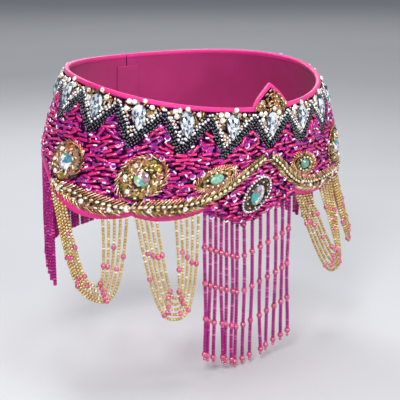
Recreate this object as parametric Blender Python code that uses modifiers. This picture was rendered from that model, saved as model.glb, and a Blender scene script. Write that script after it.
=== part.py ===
"""Belly dance hip belt, modelled as it sits on a hip.

The belt is one stiff cloth wall that runs round the hips from centre back to centre back, with its bead
embroidery raised on the outside. Satin bindings close its two edges. Crystals and gold scroll applique are
sewn on the outside, and beaded fringe and swags hang from narrow strips under the hem.

Frame: metres, +Z up, the wearer faces -Y. The origin is the middle of the hip opening.
A place on the belt is given by its distance along the belt from the centre front (positive towards +X),
its height, and its lift off the cloth's outer face.
"""
import math

import bmesh
import bpy
import numpy as np

# Hip sections that the belt is cut to
HIP_SECTIONS = (
    {"height": 0.060, "half_width": 0.125, "front_depth": 0.094, "back_depth": 0.114},
    {"height": 0.030, "half_width": 0.140, "front_depth": 0.103, "back_depth": 0.113},
    {"height": 0.000, "half_width": 0.153, "front_depth": 0.105, "back_depth": 0.113},
    {"height": -0.030, "half_width": 0.164, "front_depth": 0.103, "back_depth": 0.112},
    {"height": -0.060, "half_width": 0.174, "front_depth": 0.094, "back_depth": 0.112},
)
MEASURING_HEIGHT = 0.020
V_COUNT = 19

# Lean of the front, whose centre line isn't upright on a cocked hip
LEAN = 0.13
LEAN_HEIGHT = -0.008
LEAN_REACH = 0.090

# Top edge: a mean height, lower in front, with a pointed crown at the centre front
TOP_MEAN = 0.046
TOP_FRONT_DIP = 0.014
TOP_HIP_RISE = 0.0055
CROWN_HEIGHT = 0.020
CROWN_HALF_WIDTH = 0.0205
CROWN_SHARPNESS = 0.65

# Hem: a pointed tab in front, then one lobe after another up to the centre back
TAB_TIP = -0.087
HEM_LOBES = (
    {"start": 0.000, "end": 0.046, "start_height": TAB_TIP, "end_height": -0.066, "drop": 0.000, "ease": 1.0},
    {"start": 0.046, "end": 0.109, "start_height": -0.066, "end_height": -0.0635, "drop": 0.0065, "ease": 1.0},
    {"start": 0.109, "end": 0.200, "start_height": -0.0635, "end_height": -0.037, "drop": 0.012, "ease": 1.0},
    {"start": 0.200, "end": 0.401, "start_height": -0.037, "end_height": -0.018, "drop": 0.000, "ease": 8.0},
)

# Cloth, bindings and seams
SEAM = 0.0003
CLOTH = 0.0022
BINDING_HEIGHT = 0.0040
BINDING_OUTER = 0.0014
BINDING_INNER = -0.0030
BACK_OPENING = 0.0012
PLAIN_END = 0.010

# Bead embroidery, by how far it stands off the cloth
FILL_LIFT = 0.0012
ZIGZAG_LIFT = 0.0024
FIELD_LIFT = 0.0016
EDGE_SLOPE = 0.0015
ZIGZAG_PEAK_DEPTH = 0.013
ZIGZAG_TIP_DEPTH = 0.036
ZIGZAG_HALF_BAND = 0.0065
ZIGZAG_HALF_RIDGE = 0.0045
FIELD_ROWS = 3
LINING_ROWS = 4

# Crystals and applique
TEARDROP_DEPTH = 0.017
TEARDROP_HALF_WIDTH = 0.0063
TEARDROP_HALF_LENGTH = 0.0112
SWIRLS = (
    {"name": "front", "along": 0.111, "height": -0.030, "radius": 0.0200},
    {"name": "side", "along": 0.181, "height": -0.0185, "radius": 0.0175},
)
LEAF = {"along": 0.0475, "height": -0.0330, "half_length": 0.0205, "half_width": 0.0095}
LEAF_TILT = math.radians(17.0)
MEDALLION = {"height": -0.055, "half_width": 0.0125, "half_height": 0.0175}
SCROLL_ARM = (
    {"along": 0.0030, "height": -0.0195, "width": 0.0085},
    {"along": 0.0090, "height": -0.0235, "width": 0.0105},
    {"along": 0.0170, "height": -0.0295, "width": 0.0110},
    {"along": 0.0250, "height": -0.0370, "width": 0.0110},
    {"along": 0.0350, "height": -0.0450, "width": 0.0110},
    {"along": 0.0460, "height": -0.0515, "width": 0.0105},
    {"along": 0.0600, "height": -0.0565, "width": 0.0135},
    {"along": 0.0750, "height": -0.0575, "width": 0.0150},
    {"along": 0.0900, "height": -0.0570, "width": 0.0140},
    {"along": 0.1020, "height": -0.0560, "width": 0.0110},
    {"along": 0.1130, "height": -0.0555, "width": 0.0060},
)
SCROLL_TAIL = (
    {"along": 0.1180, "height": -0.0560, "width": 0.0080},
    {"along": 0.1280, "height": -0.0550, "width": 0.0130},
    {"along": 0.1380, "height": -0.0530, "width": 0.0145},
    {"along": 0.1480, "height": -0.0505, "width": 0.0150},
    {"along": 0.1580, "height": -0.0475, "width": 0.0140},
    {"along": 0.1680, "height": -0.0440, "width": 0.0120},
    {"along": 0.1770, "height": -0.0418, "width": 0.0095},
    {"along": 0.1850, "height": -0.0400, "width": 0.0065},
    {"along": 0.1920, "height": -0.0360, "width": 0.0040},
)
SCROLL_STEP = 0.0065
SCROLL_RISE = 0.0022

# Relief of the round pieces, from rim to middle: share of the radius and height over the seat
SWIRL_RELIEF = (
    {"share": 0.97, "rise": 0.0018},
    {"share": 0.80, "rise": 0.0024},
    {"share": 0.56, "rise": 0.0014},
    {"share": 0.36, "rise": 0.0016},
    {"share": 0.28, "rise": 0.0040},
)
LEAF_RELIEF = (
    {"share": 0.95, "rise": 0.0018},
    {"share": 0.62, "rise": 0.0014},
    {"share": 0.38, "rise": 0.0038},
)
MEDALLION_RELIEF = (
    {"share": 0.97, "rise": 0.0022},
    {"share": 0.72, "rise": 0.0014},
    {"share": 0.50, "rise": 0.0044},
)
CRYSTAL_RELIEF = (
    {"share": 0.98, "rise": 0.0014},
    {"share": 0.55, "rise": 0.0036},
)

# Strips that the strands are sewn to, just under the hem
STRIP_HEIGHT = 0.0018
STRIP_OUTER = 0.0006
STRIP_INNER = -0.0026
STRIP_STEP = 0.008

# Front fringe
FRONT_STRANDS = 14
FRONT_HALF_WIDTH = 0.0435
FRONT_SEGMENT = 0.0345
FRONT_PEARLS = 4
BEAD_RADIUS = 0.0013
PEARL_RADIUS = 0.0029
PEARL_HALF_LENGTH = 0.0027

# Side and back fringe
BACK_FRINGES = (
    {"name": "side", "start": 0.1965, "end": 0.2970, "strands": 16},
    {"name": "rear", "start": 0.2978, "end": 0.3985, "strands": 16},
)
BACK_STRAND_LENGTH = 0.098

# Gold swags: nested loops, outermost first; those on the wearer's left swing aside, as the hip there drops
SWAGS = (
    {"name": "front", "near": 0.0475, "far": 0.1075, "spread": 0.0190, "drop": 0.094, "rise": 0.0060,
     "forward": 0.013, "left_aside": 0.018, "left_lift": 0.008},
    {"name": "side", "near": 0.1105, "far": 0.1935, "spread": 0.0200, "drop": 0.084, "rise": 0.0050,
     "forward": 0.015, "left_aside": 0.006, "left_lift": 0.000},
)
SWAG_LOOPS = 5
SWAG_PEARL_PLACES = (0.20, 0.50, 0.80)
SWAG_PEARL_REACH = 0.022
SWAG_BEND_PLACES = (0.0, 0.07, 0.30, 0.40, 0.60, 0.70, 0.93, 1.0)
SWAG_BEAD_RADIUS = 0.0011
SWAG_SHAPE = 3.0
SWAG_INSET = 0.0025

# Centre-back closure
UNDERLAP_HALF_WIDTH = 0.014
UNDERLAP_MARGIN = 0.008
UNDERLAP_THICKNESS = 0.0015
HOOK_HEIGHTS = (0.038, 0.016, -0.006)
HOOK_SIZE = (0.0150, 0.0012, 0.0050)

COLOURS = {
    "bugle_magenta": {"colour": (0.50, 0.01, 0.22), "roughness": 0.25, "metallic": 0.0},
    "satin_pink": {"colour": (0.80, 0.03, 0.30), "roughness": 0.35, "metallic": 0.0},
    "gold_bead": {"colour": (0.76, 0.50, 0.16), "roughness": 0.28, "metallic": 1.0},
    "crystal": {"colour": (0.80, 0.84, 0.90), "roughness": 0.08, "metallic": 0.0},
    "strand_magenta": {"colour": (0.45, 0.01, 0.25), "roughness": 0.30, "metallic": 0.0},
    "silver_bead": {"colour": (0.80, 0.80, 0.84), "roughness": 0.20, "metallic": 1.0},
}


def section_curve(column):
    """A smooth curve of the second degree through one column of the hip sections."""
    heights = [row["height"] for row in HIP_SECTIONS]
    return np.polyfit(heights, [row[column] for row in HIP_SECTIONS], 2)


HALF_WIDTH = section_curve("half_width")
FRONT_DEPTH = section_curve("front_depth")
BACK_DEPTH = section_curve("back_depth")


def hip_at(angle, height, lift=0.0):
    """The hip at an angle from the centre front: half an ellipse in front and another behind."""
    angle, height, lift = np.broadcast_arrays(angle, height, lift)
    front = np.cos(angle) > 0.0
    width = np.polyval(HALF_WIDTH, height)
    width_slope = np.polyval(np.polyder(HALF_WIDTH), height)
    depth = np.where(front, np.polyval(FRONT_DEPTH, height), np.polyval(BACK_DEPTH, height))
    depth_slope = np.where(front, np.polyval(np.polyder(FRONT_DEPTH), height),
                           np.polyval(np.polyder(BACK_DEPTH), height))
    sine, cosine = np.sin(angle), np.cos(angle)
    surface = np.stack([width * sine, -depth * cosine, height], axis=-1)
    rise = -width * depth_slope * cosine ** 2 - depth * width_slope * sine ** 2
    outward = np.stack([depth * sine, -width * cosine, rise], axis=-1)
    outward /= np.linalg.norm(outward, axis=-1, keepdims=True)
    return surface + outward * lift[..., None]


ARC_ANGLES = np.linspace(0.0, math.pi, 721)
ARC_POINTS = hip_at(ARC_ANGLES, MEASURING_HEIGHT)
ARC_LENGTHS = np.concatenate([[0.0], np.cumsum(np.linalg.norm(np.diff(ARC_POINTS, axis=0), axis=1))])
HALF_GIRTH = ARC_LENGTHS[-1]
V_WIDTH = 2.0 * HALF_GIRTH / V_COUNT


def angle_at(along):
    """The angle at a distance along the belt, measured round the hip at the measuring height."""
    return np.sign(along) * np.interp(np.abs(along), ARC_LENGTHS, ARC_ANGLES)


def on_belt(along, height, lift=0.0):
    """The point at a distance along the belt, a height and a lift off the cloth, on the leaning front."""
    leaning = LEAN * (height - LEAN_HEIGHT) * np.exp(-(along / LEAN_REACH) ** 2)
    return hip_at(angle_at(along + leaning), height, lift)


def top_line(along):
    """The top edge without its crown."""
    angle = angle_at(along)
    return TOP_MEAN - TOP_FRONT_DIP * np.cos(angle) - TOP_HIP_RISE * np.cos(2.0 * angle)


def top_edge(along):
    """The top edge: the line plus the pointed crown at the centre front."""
    share = np.clip(1.0 - np.abs(along) / CROWN_HALF_WIDTH, 0.0, 1.0)
    return top_line(along) + CROWN_HEIGHT * share ** CROWN_SHARPNESS


def hem_edge(along):
    """The hem: each lobe runs from one end height to the next and bulges down between them."""
    distance = np.abs(along)
    height = np.full(np.shape(distance), TAB_TIP)
    for lobe in HEM_LOBES:
        share = np.clip((distance - lobe["start"]) / (lobe["end"] - lobe["start"]), 0.0, 1.0)
        run = 1.0 - (1.0 - share) ** lobe["ease"]
        line = lobe["start_height"] + (lobe["end_height"] - lobe["start_height"]) * run
        bulge = lobe["drop"] * np.sin(math.pi * share) ** 0.8
        height = np.where(distance >= lobe["start"], line - bulge, height)
    return height


def wall_top(along):
    """The cloth's upper edge, a seam under the top binding."""
    return top_edge(along) - BINDING_HEIGHT - SEAM


def wall_hem(along):
    """The cloth's lower edge, a seam over the hem binding."""
    return hem_edge(along) + BINDING_HEIGHT + SEAM


def zigzag_middle(along):
    """The middle of the zigzag: an even zigzag with a low tip in each V and a peak between two."""
    phase = np.abs(along) / V_WIDTH
    to_tip = np.abs(phase - np.round(phase)) * 2.0
    depth = ZIGZAG_TIP_DEPTH - (ZIGZAG_TIP_DEPTH - ZIGZAG_PEAK_DEPTH) * to_tip
    return top_line(along) - depth


def belt_stations():
    """Distances along the belt: close together in front, wider behind, with one at each corner."""
    last = HALF_GIRTH - BACK_OPENING / 2.0
    centre = np.arange(0, 16) / 12.0 * V_WIDTH
    front = np.arange(8, 31) / 6.0 * V_WIDTH
    back = np.arange(21, 38) / 4.0 * V_WIDTH
    corners = [lobe["end"] for lobe in HEM_LOBES[:-1]]
    ends = [last - PLAIN_END - 0.004, last - PLAIN_END, last]
    half = np.sort(np.concatenate([centre, front, back, corners, ends]))
    half = half[half <= last]
    half = half[np.concatenate([[True], np.diff(half) > 0.0012])]
    half[-1] = last
    return np.concatenate([-half[:0:-1], half])


def new_collection(name):
    """A collection of the scene."""
    collection = bpy.data.collections.new(name)
    bpy.context.scene.collection.children.link(collection)
    return collection


def material(name):
    """The Principled material of one colour in the table."""
    found = bpy.data.materials.get(name)
    if found:
        return found
    made = bpy.data.materials.new(name)
    made.use_nodes = True
    shader = made.node_tree.nodes["Principled BSDF"]
    finish = COLOURS[name]
    shader.inputs["Base Color"].default_value = (*finish["colour"], 1.0)
    shader.inputs["Roughness"].default_value = finish["roughness"]
    shader.inputs["Metallic"].default_value = finish["metallic"]
    return made


def add_mesh(name, vertices, faces, colour, collection):
    """An object from vertices and faces, with its normals turned outwards."""
    mesh = bpy.data.meshes.new(name)
    mesh.from_pydata(vertices, [], faces)
    work = bmesh.new()
    work.from_mesh(mesh)
    bmesh.ops.recalc_face_normals(work, faces=work.faces)
    work.to_mesh(mesh)
    work.free()
    mesh.shade_smooth()
    mesh.set_sharp_from_angle(angle=math.radians(40.0))
    mesh.materials.append(material(colour))
    made = bpy.data.objects.new(name, mesh)
    collection.objects.link(made)
    return made


def add_loft(name, rings, colour, collection):
    """A closed body through closed rings of equally many points, capped at both ends."""
    stations, around = rings.shape[:2]
    index = np.arange(stations * around).reshape(stations, around)
    following = np.roll(index, -1, axis=1)
    sides = np.stack([index[:-1], following[:-1], following[1:], index[1:]], axis=-1).reshape(-1, 4)
    faces = sides.tolist() + [index[0].tolist(), index[-1][::-1].tolist()]
    return add_mesh(name, rings.reshape(-1, 3).tolist(), faces, colour, collection)


def add_patch(name, place, outline, relief, seat, colour, collection, base_shares=(0.5,)):
    """A domed body on the belt: rings shrunk from its outline, flat under it and raised over it."""
    shares = [*sorted(base_shares), 1.0, *[row["share"] for row in relief]]
    lifts = [seat] * (len(base_shares) + 1) + [seat + row["rise"] for row in relief]
    along, height = outline
    sides = len(along)
    rings = [on_belt(place[0] + along * share, place[1] + height * share, lift)
             for share, lift in zip(shares, lifts)]
    poles = [on_belt(place[0], place[1], seat), on_belt(place[0], place[1], lifts[-1])]
    vertices = np.concatenate([np.reshape(rings, (-1, 3)), poles])
    index = np.arange(len(shares) * sides).reshape(len(shares), sides)
    following = np.roll(index, -1, axis=1)
    quads = np.stack([index[:-1], following[:-1], following[1:], index[1:]], axis=-1).reshape(-1, 4)
    under, over = len(vertices) - 2, len(vertices) - 1
    fans = [[under, b, a] for a, b in zip(index[0], following[0])]
    fans += [[over, a, b] for a, b in zip(index[-1], following[-1])]
    faces = quads.tolist() + [[int(corner) for corner in fan] for fan in fans]
    return add_mesh(name, vertices.tolist(), faces, colour, collection)


def add_belt_band(collection):
    """The cloth wall: a section of embroidered outer rows and plain inner rows, carried round the hip."""
    along = belt_stations()
    top, hem, zigzag = wall_top(along), wall_hem(along), zigzag_middle(along)
    below = zigzag - ZIGZAG_HALF_BAND
    field = [below + (hem + EDGE_SLOPE - below) * step / FIELD_ROWS for step in range(1, FIELD_ROWS + 1)]
    outer_heights = [top, top - EDGE_SLOPE, zigzag + ZIGZAG_HALF_BAND, zigzag + ZIGZAG_HALF_RIDGE,
                     zigzag - ZIGZAG_HALF_RIDGE, below, *field, hem]
    outer_lifts = [0.0, FILL_LIFT, FILL_LIFT, ZIGZAG_LIFT, ZIGZAG_LIFT, FIELD_LIFT,
                   *[FIELD_LIFT] * FIELD_ROWS, 0.0]
    plain = HALF_GIRTH - BACK_OPENING / 2.0 - np.abs(along) <= PLAIN_END + 1e-6
    raised = np.where(plain, 0.0, 1.0)
    outer = [on_belt(along, height, lift * raised) for height, lift in zip(outer_heights, outer_lifts)]
    inner_heights = [hem + (top - hem) * row / (LINING_ROWS - 1) for row in range(LINING_ROWS)]
    inner = [on_belt(along, height, -CLOTH) for height in inner_heights]
    add_loft("belt_band", np.stack([*outer, *inner], axis=1), "bugle_magenta", collection)


def edge_bar(along, low, high, inner, outer):
    """Rings of a bar of rectangular section that follows an edge of the belt."""
    corners = [on_belt(along, low, inner), on_belt(along, low, outer),
               on_belt(along, high, outer), on_belt(along, high, inner)]
    return np.stack(corners, axis=1)


def add_bindings(collection):
    """The two satin bindings, one over the cloth's upper edge and one under its hem."""
    along = belt_stations()
    top, hem = top_edge(along), hem_edge(along)
    top_rings = edge_bar(along, top - BINDING_HEIGHT, top, BINDING_INNER, BINDING_OUTER)
    hem_rings = edge_bar(along, hem, hem + BINDING_HEIGHT, BINDING_INNER, BINDING_OUTER)
    add_loft("top_binding", top_rings, "satin_pink", collection)
    add_loft("hem_binding", hem_rings, "satin_pink", collection)


def add_teardrops(collection):
    """One crystal in each V, round at the top and pointed at the bottom."""
    turn = np.linspace(0.0, 2.0 * math.pi, 8, endpoint=False)
    outline = (TEARDROP_HALF_WIDTH * 1.25 * np.sin(turn) * np.abs(np.cos(turn / 2.0)) ** 0.8,
               TEARDROP_HALF_LENGTH * np.cos(turn))
    for number in range(V_COUNT):
        along = (number - V_COUNT // 2) * V_WIDTH
        place = (along, float(top_line(along)) - TEARDROP_DEPTH)
        add_patch(f"teardrop_{number + 1:02d}", place, outline, CRYSTAL_RELIEF, FILL_LIFT + SEAM,
                  "crystal", collection, base_shares=())


def add_swirls(collection):
    """Round swirls with a stone in the middle, two on each side."""
    turn = np.linspace(0.0, 2.0 * math.pi, 16, endpoint=False)
    for swirl in SWIRLS:
        outline = (swirl["radius"] * np.cos(turn), swirl["radius"] * np.sin(turn))
        for side, name in ((-1, "right"), (1, "left")):
            add_patch(f"swirl_{swirl['name']}_{name}", (side * swirl["along"], swirl["height"]), outline,
                      SWIRL_RELIEF, FIELD_LIFT + SEAM, "gold_bead", collection)


def add_leaves(collection):
    """Leaf-shaped eyes over the two arms, pointed at both ends."""
    turn = np.linspace(0.0, 2.0 * math.pi, 14, endpoint=False)
    length = LEAF["half_length"] * np.cos(turn)
    width = LEAF["half_width"] * np.sin(turn) * np.abs(np.sin(turn)) ** 0.3
    for side, name in ((-1, "right"), (1, "left")):
        outline = (side * (length * math.cos(LEAF_TILT) - width * math.sin(LEAF_TILT)),
                   -length * math.sin(LEAF_TILT) - width * math.cos(LEAF_TILT))
        add_patch(f"leaf_{name}", (side * LEAF["along"], LEAF["height"]), outline, LEAF_RELIEF,
                  FIELD_LIFT + SEAM, "gold_bead", collection)


def add_medallion(collection):
    """The oval medallion on the tab."""
    turn = np.linspace(0.0, 2.0 * math.pi, 16, endpoint=False)
    outline = (MEDALLION["half_width"] * np.cos(turn), MEDALLION["half_height"] * np.sin(turn))
    add_patch("medallion", (0.0, MEDALLION["height"]), outline, MEDALLION_RELIEF, FIELD_LIFT + SEAM,
              "silver_bead", collection)


def column_spline(rows, column, stations):
    """One column of a table of places, read off a smooth curve through its rows."""
    known = np.array([row["along"] for row in rows])
    values = np.array([row[column] for row in rows])
    slopes = np.gradient(values, known)
    piece = np.clip(np.searchsorted(known, stations, side="right") - 1, 0, len(known) - 2)
    step = known[piece + 1] - known[piece]
    share = (stations - known[piece]) / step
    start, end = values[piece], values[piece + 1]
    return (start * (1 + 2 * share) * (1 - share) ** 2 + end * share ** 2 * (3 - 2 * share)
            + step * (slopes[piece] * share * (1 - share) ** 2 - slopes[piece + 1] * share ** 2 * (1 - share)))


def scroll_rings(rows, side):
    """Rings of a domed ribbon that lies on the belt along a table of places."""
    first, last = rows[0]["along"], rows[-1]["along"]
    along = np.linspace(first, last, max(4, round((last - first) / SCROLL_STEP)))
    height = column_spline(rows, "height", along)
    half = column_spline(rows, "width", along) / 2.0
    run, climb = np.gradient(along), np.gradient(height)
    length = np.hypot(run, climb)
    across_along, across_height = -climb / length, run / length
    seat = FIELD_LIFT + SEAM
    section = ((-1.0, 0.0), (0.0, 0.0), (1.0, 0.0), (0.86, 0.8), (0.0, 1.0), (-0.86, 0.8))
    rings = [on_belt(side * (along + across_along * half * place), height + across_height * half * place,
                     seat + SCROLL_RISE * rise) for place, rise in section]
    return np.stack(rings, axis=1)


def add_scrolls(collection):
    """The gold ribbons: an arm from the centre front and a tail on the second lobe, on each side."""
    for side, name in ((-1, "right"), (1, "left")):
        add_loft(f"scroll_arm_{name}", scroll_rings(SCROLL_ARM, side), "gold_bead", collection)
        add_loft(f"scroll_tail_{name}", scroll_rings(SCROLL_TAIL, side), "gold_bead", collection)


def add_strip(name, start, end, colour, collection):
    """A narrow strip that follows the hem a seam below its binding."""
    steps = max(2, round((end - start) / STRIP_STEP))
    corners = [corner for lobe in HEM_LOBES for corner in (lobe["end"], -lobe["end"])]
    inside = [corner for corner in [*corners, 0.0] if start + 0.001 < corner < end - 0.001]
    even = [place for place in np.linspace(start, end, steps + 1)
            if all(abs(place - corner) > 0.002 for corner in inside)]
    along = np.array(sorted([*even, *inside]))
    high = hem_edge(along) - SEAM
    rings = edge_bar(along, high - STRIP_HEIGHT, high, STRIP_INNER, STRIP_OUTER)
    return add_loft(name, rings, colour, collection)


def strip_middle(along):
    """The middle of the strip's section, where a strand is rooted."""
    height = hem_edge(along) - SEAM - STRIP_HEIGHT / 2.0
    return on_belt(along, height, (STRIP_INNER + STRIP_OUTER) / 2.0)


def pearl_stops(places, reach):
    """Places along a strand and their thickness: a pearl is thin, thick and thin again."""
    stops, factors = [], []
    for place in places:
        stops += [place - reach, place, place + reach]
        factors += [1.0, PEARL_RADIUS / BEAD_RADIUS, 1.0]
    return stops, factors


def add_strands(name, paths, radius, tools):
    """Square-sided strands as one mesh: each path is a list of points and one of thicknesses."""
    curve = bpy.data.curves.new(name, "CURVE")
    curve.dimensions = "3D"
    curve.bevel_depth = radius
    curve.bevel_resolution = 0
    curve.use_fill_caps = True
    for points, factors in paths:
        spline = curve.splines.new("POLY")
        spline.points.add(len(points) - 1)
        for point, place, factor in zip(spline.points, points, factors):
            point.co = (*place, 1.0)
            point.radius = factor
    drawn = bpy.data.objects.new(name, curve)
    tools.objects.link(drawn)
    bpy.context.view_layer.update()
    evaluated = drawn.evaluated_get(bpy.context.evaluated_depsgraph_get())
    mesh = bpy.data.meshes.new_from_object(evaluated)
    work = bmesh.new()
    work.from_mesh(mesh)
    bmesh.ops.remove_doubles(work, verts=work.verts, dist=0.00001)
    bmesh.ops.recalc_face_normals(work, faces=work.faces)
    work.to_mesh(mesh)
    work.free()
    made = bpy.data.objects.new(f"{name}_strands", mesh)
    made.matrix_world = drawn.matrix_world
    made.hide_render = True
    made.display_type = "WIRE"
    tools.objects.link(made)
    bpy.data.objects.remove(drawn)
    return made


def root_strands(strip, strands):
    """The strands' roots are fused into their strip."""
    strands.data.materials.clear()
    strands.data.materials.append(strip.data.materials[0])
    join = strip.modifiers.new("rooted strands", "BOOLEAN")
    join.operation = "UNION"
    join.solver = "EXACT"
    join.object = strands


def add_front_fringe(collection, tools):
    """Straight strands under the tab, each with a pearl at the end of every segment."""
    strip = add_strip("fringe_front", -FRONT_HALF_WIDTH - 0.002, FRONT_HALF_WIDTH + 0.002,
                      "strand_magenta", collection)
    paths = []
    for along in np.linspace(-FRONT_HALF_WIDTH, FRONT_HALF_WIDTH, FRONT_STRANDS):
        root = strip_middle(along)
        places = [FRONT_SEGMENT * (number + 1) for number in range(FRONT_PEARLS)]
        stops, factors = pearl_stops(places, PEARL_HALF_LENGTH)
        points = [root - np.array([0.0, 0.0, stop]) for stop in [0.0, *stops]]
        paths.append((points, [1.0, *factors]))
    root_strands(strip, add_strands("fringe_front", paths, BEAD_RADIUS, tools))


def add_back_fringes(collection, tools):
    """Straight strands round the sides and the back, in two lengths of strip on each side."""
    for fringe in BACK_FRINGES:
        for side, word in ((-1, "right"), (1, "left")):
            name = f"fringe_{fringe['name']}_{word}"
            start, end = sorted((side * fringe["start"], side * fringe["end"]))
            strip = add_strip(name, start, end, "strand_magenta", collection)
            paths = []
            for along in np.linspace(start + 0.003, end - 0.003, fringe["strands"]):
                root = strip_middle(along)
                tip = root - np.array([0.0, 0.0, BACK_STRAND_LENGTH])
                paths.append(([root, (root + tip) / 2.0, tip], [1.0, 1.0, 1.0]))
            root_strands(strip, add_strands(name, paths, BEAD_RADIUS, tools))


def swag_path(start, end, drop, forward, aside):
    """A loop that hangs from two roots: it follows the hem in plan, and sags down, forward and aside."""
    stops, factors = pearl_stops(SWAG_PEARL_PLACES, SWAG_PEARL_REACH)
    share = np.array([*SWAG_BEND_PLACES, *stops])
    thickness = np.array([*[1.0] * len(SWAG_BEND_PLACES), *factors])
    order = np.argsort(share)
    share, thickness = share[order], thickness[order]
    sideways = 0.5 - 0.5 * np.cos(math.pi * share)
    sag = 1.0 - np.abs(2.0 * sideways - 1.0) ** SWAG_SHAPE
    roots = strip_middle(np.array([start, end]))
    height = roots[0, 2] + (roots[1, 2] - roots[0, 2]) * sideways - drop * sag
    plan = strip_middle(start + (end - start) * sideways)
    return np.stack([plan[:, 0] + aside * sag, plan[:, 1] - forward * sag, height], axis=-1), thickness


def add_swags(collection, tools):
    """Nested loops under the two lobes on each side, the outermost the longest."""
    for swag in SWAGS:
        for side, word in ((-1, "right"), (1, "left")):
            name = f"swag_{swag['name']}_{word}"
            start, end = sorted((side * swag["near"], side * swag["far"]))
            strip = add_strip(name, start, end, "gold_bead", collection)
            paths = []
            for loop in range(SWAG_LOOPS):
                inset = SWAG_INSET + swag["spread"] * loop / (SWAG_LOOPS - 1)
                drop = swag["drop"] - swag["rise"] * loop - (swag["left_lift"] if side > 0 else 0.0)
                aside = swag["left_aside"] if side > 0 else 0.0
                paths.append(swag_path(start + inset, end - inset, drop, swag["forward"], aside))
            root_strands(strip, add_strands(name, paths, SWAG_BEAD_RADIUS, tools))


def add_closure(collection):
    """The centre-back closure: an underlap inside the opening and three flat hooks across it."""
    last = float(angle_at(HALF_GIRTH - UNDERLAP_HALF_WIDTH))
    angle = np.linspace(last, 2.0 * math.pi - last, 5)
    high = float(wall_top(HALF_GIRTH)) - UNDERLAP_MARGIN
    low = float(wall_hem(HALF_GIRTH)) + UNDERLAP_MARGIN
    outer = -CLOTH - SEAM
    inner = outer - UNDERLAP_THICKNESS
    corners = [hip_at(angle, low, inner), hip_at(angle, low, outer),
               hip_at(angle, high, outer), hip_at(angle, high, inner)]
    add_loft("back_underlap", np.stack(corners, axis=1), "satin_pink", collection)
    for number, height in enumerate(HOOK_HEIGHTS):
        bpy.ops.mesh.primitive_cube_add(size=1.0, location=on_belt(HALF_GIRTH, height,
                                                                  SEAM + HOOK_SIZE[1] / 2.0))
        hook = bpy.context.object
        hook.name = f"back_hook_{number + 1}"
        hook.scale = HOOK_SIZE
        bpy.ops.object.transform_apply(location=False, rotation=False, scale=True)
        hook.data.materials.append(material("silver_bead"))
        rounded = hook.modifiers.new("rounded edges", "BEVEL")
        rounded.width = 0.0004
        rounded.segments = 1
        bpy.context.collection.objects.unlink(hook)
        collection.objects.link(hook)


def main():
    """Clears the scene and builds the belt."""
    for old in list(bpy.data.objects):
        bpy.data.objects.remove(old)
    belt = new_collection("belly_dance_hip_belt")
    tools = new_collection("strands_to_join")
    add_belt_band(belt)
    add_bindings(belt)
    add_teardrops(belt)
    add_swirls(belt)
    add_leaves(belt)
    add_medallion(belt)
    add_scrolls(belt)
    add_front_fringe(belt, tools)
    add_back_fringes(belt, tools)
    add_swags(belt, tools)
    add_closure(belt)


main()
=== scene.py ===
"""Looks of the belly dance hip belt: cloth, satin, bead embroidery, crystals, scroll work, fringe and swags.

Metres, +Z up, the wearer faces -Y. A place on the belt is its distance along the belt from the centre front
(positive towards +X), its height, and its lift off the cloth's outer face. Small things such as beads are
copies of one small shape, worked out as whole arrays and joined into one mesh a piece.
"""
import math

import bpy
import numpy as np
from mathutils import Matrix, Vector


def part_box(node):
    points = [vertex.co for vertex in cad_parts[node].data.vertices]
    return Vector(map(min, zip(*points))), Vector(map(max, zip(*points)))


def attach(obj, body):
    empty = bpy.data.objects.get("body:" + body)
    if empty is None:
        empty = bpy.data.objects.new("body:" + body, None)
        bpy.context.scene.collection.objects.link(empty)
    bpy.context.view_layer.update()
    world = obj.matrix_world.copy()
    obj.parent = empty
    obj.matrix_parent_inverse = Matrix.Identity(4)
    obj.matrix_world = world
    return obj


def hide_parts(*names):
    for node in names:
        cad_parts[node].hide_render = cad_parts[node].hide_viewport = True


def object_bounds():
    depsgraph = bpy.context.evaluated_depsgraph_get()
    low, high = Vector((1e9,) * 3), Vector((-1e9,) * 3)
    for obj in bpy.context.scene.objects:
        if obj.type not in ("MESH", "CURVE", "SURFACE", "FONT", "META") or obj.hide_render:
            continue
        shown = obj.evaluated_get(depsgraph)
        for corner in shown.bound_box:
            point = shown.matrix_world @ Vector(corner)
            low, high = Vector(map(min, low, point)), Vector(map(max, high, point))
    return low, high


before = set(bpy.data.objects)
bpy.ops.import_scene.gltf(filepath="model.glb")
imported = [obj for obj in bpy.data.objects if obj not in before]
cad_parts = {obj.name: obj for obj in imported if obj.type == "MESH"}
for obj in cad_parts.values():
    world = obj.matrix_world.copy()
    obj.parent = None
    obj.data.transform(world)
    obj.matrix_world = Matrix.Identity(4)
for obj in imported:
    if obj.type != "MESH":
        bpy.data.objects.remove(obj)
cad_low, cad_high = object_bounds()
chance = np.random.default_rng(19)


def named_rows(names, *rows):
    """Rows of values, each with the same names."""
    return [dict(zip(names.split(), row)) for row in rows]


# Hip that the belt is worn on
HEIGHTS = (0.060, 0.030, 0.000, -0.030, -0.060)
HALF_WIDTH = np.polyfit(HEIGHTS, (0.125, 0.140, 0.153, 0.164, 0.174), 2)
FRONT_DEPTH = np.polyfit(HEIGHTS, (0.094, 0.103, 0.105, 0.103, 0.094), 2)
BACK_DEPTH = np.polyfit(HEIGHTS, (0.114, 0.113, 0.113, 0.112, 0.112), 2)
MEASURING_HEIGHT = 0.020
V_COUNT = 19
LEAN, LEAN_HEIGHT, LEAN_REACH = 0.13, -0.008, 0.090

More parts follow.
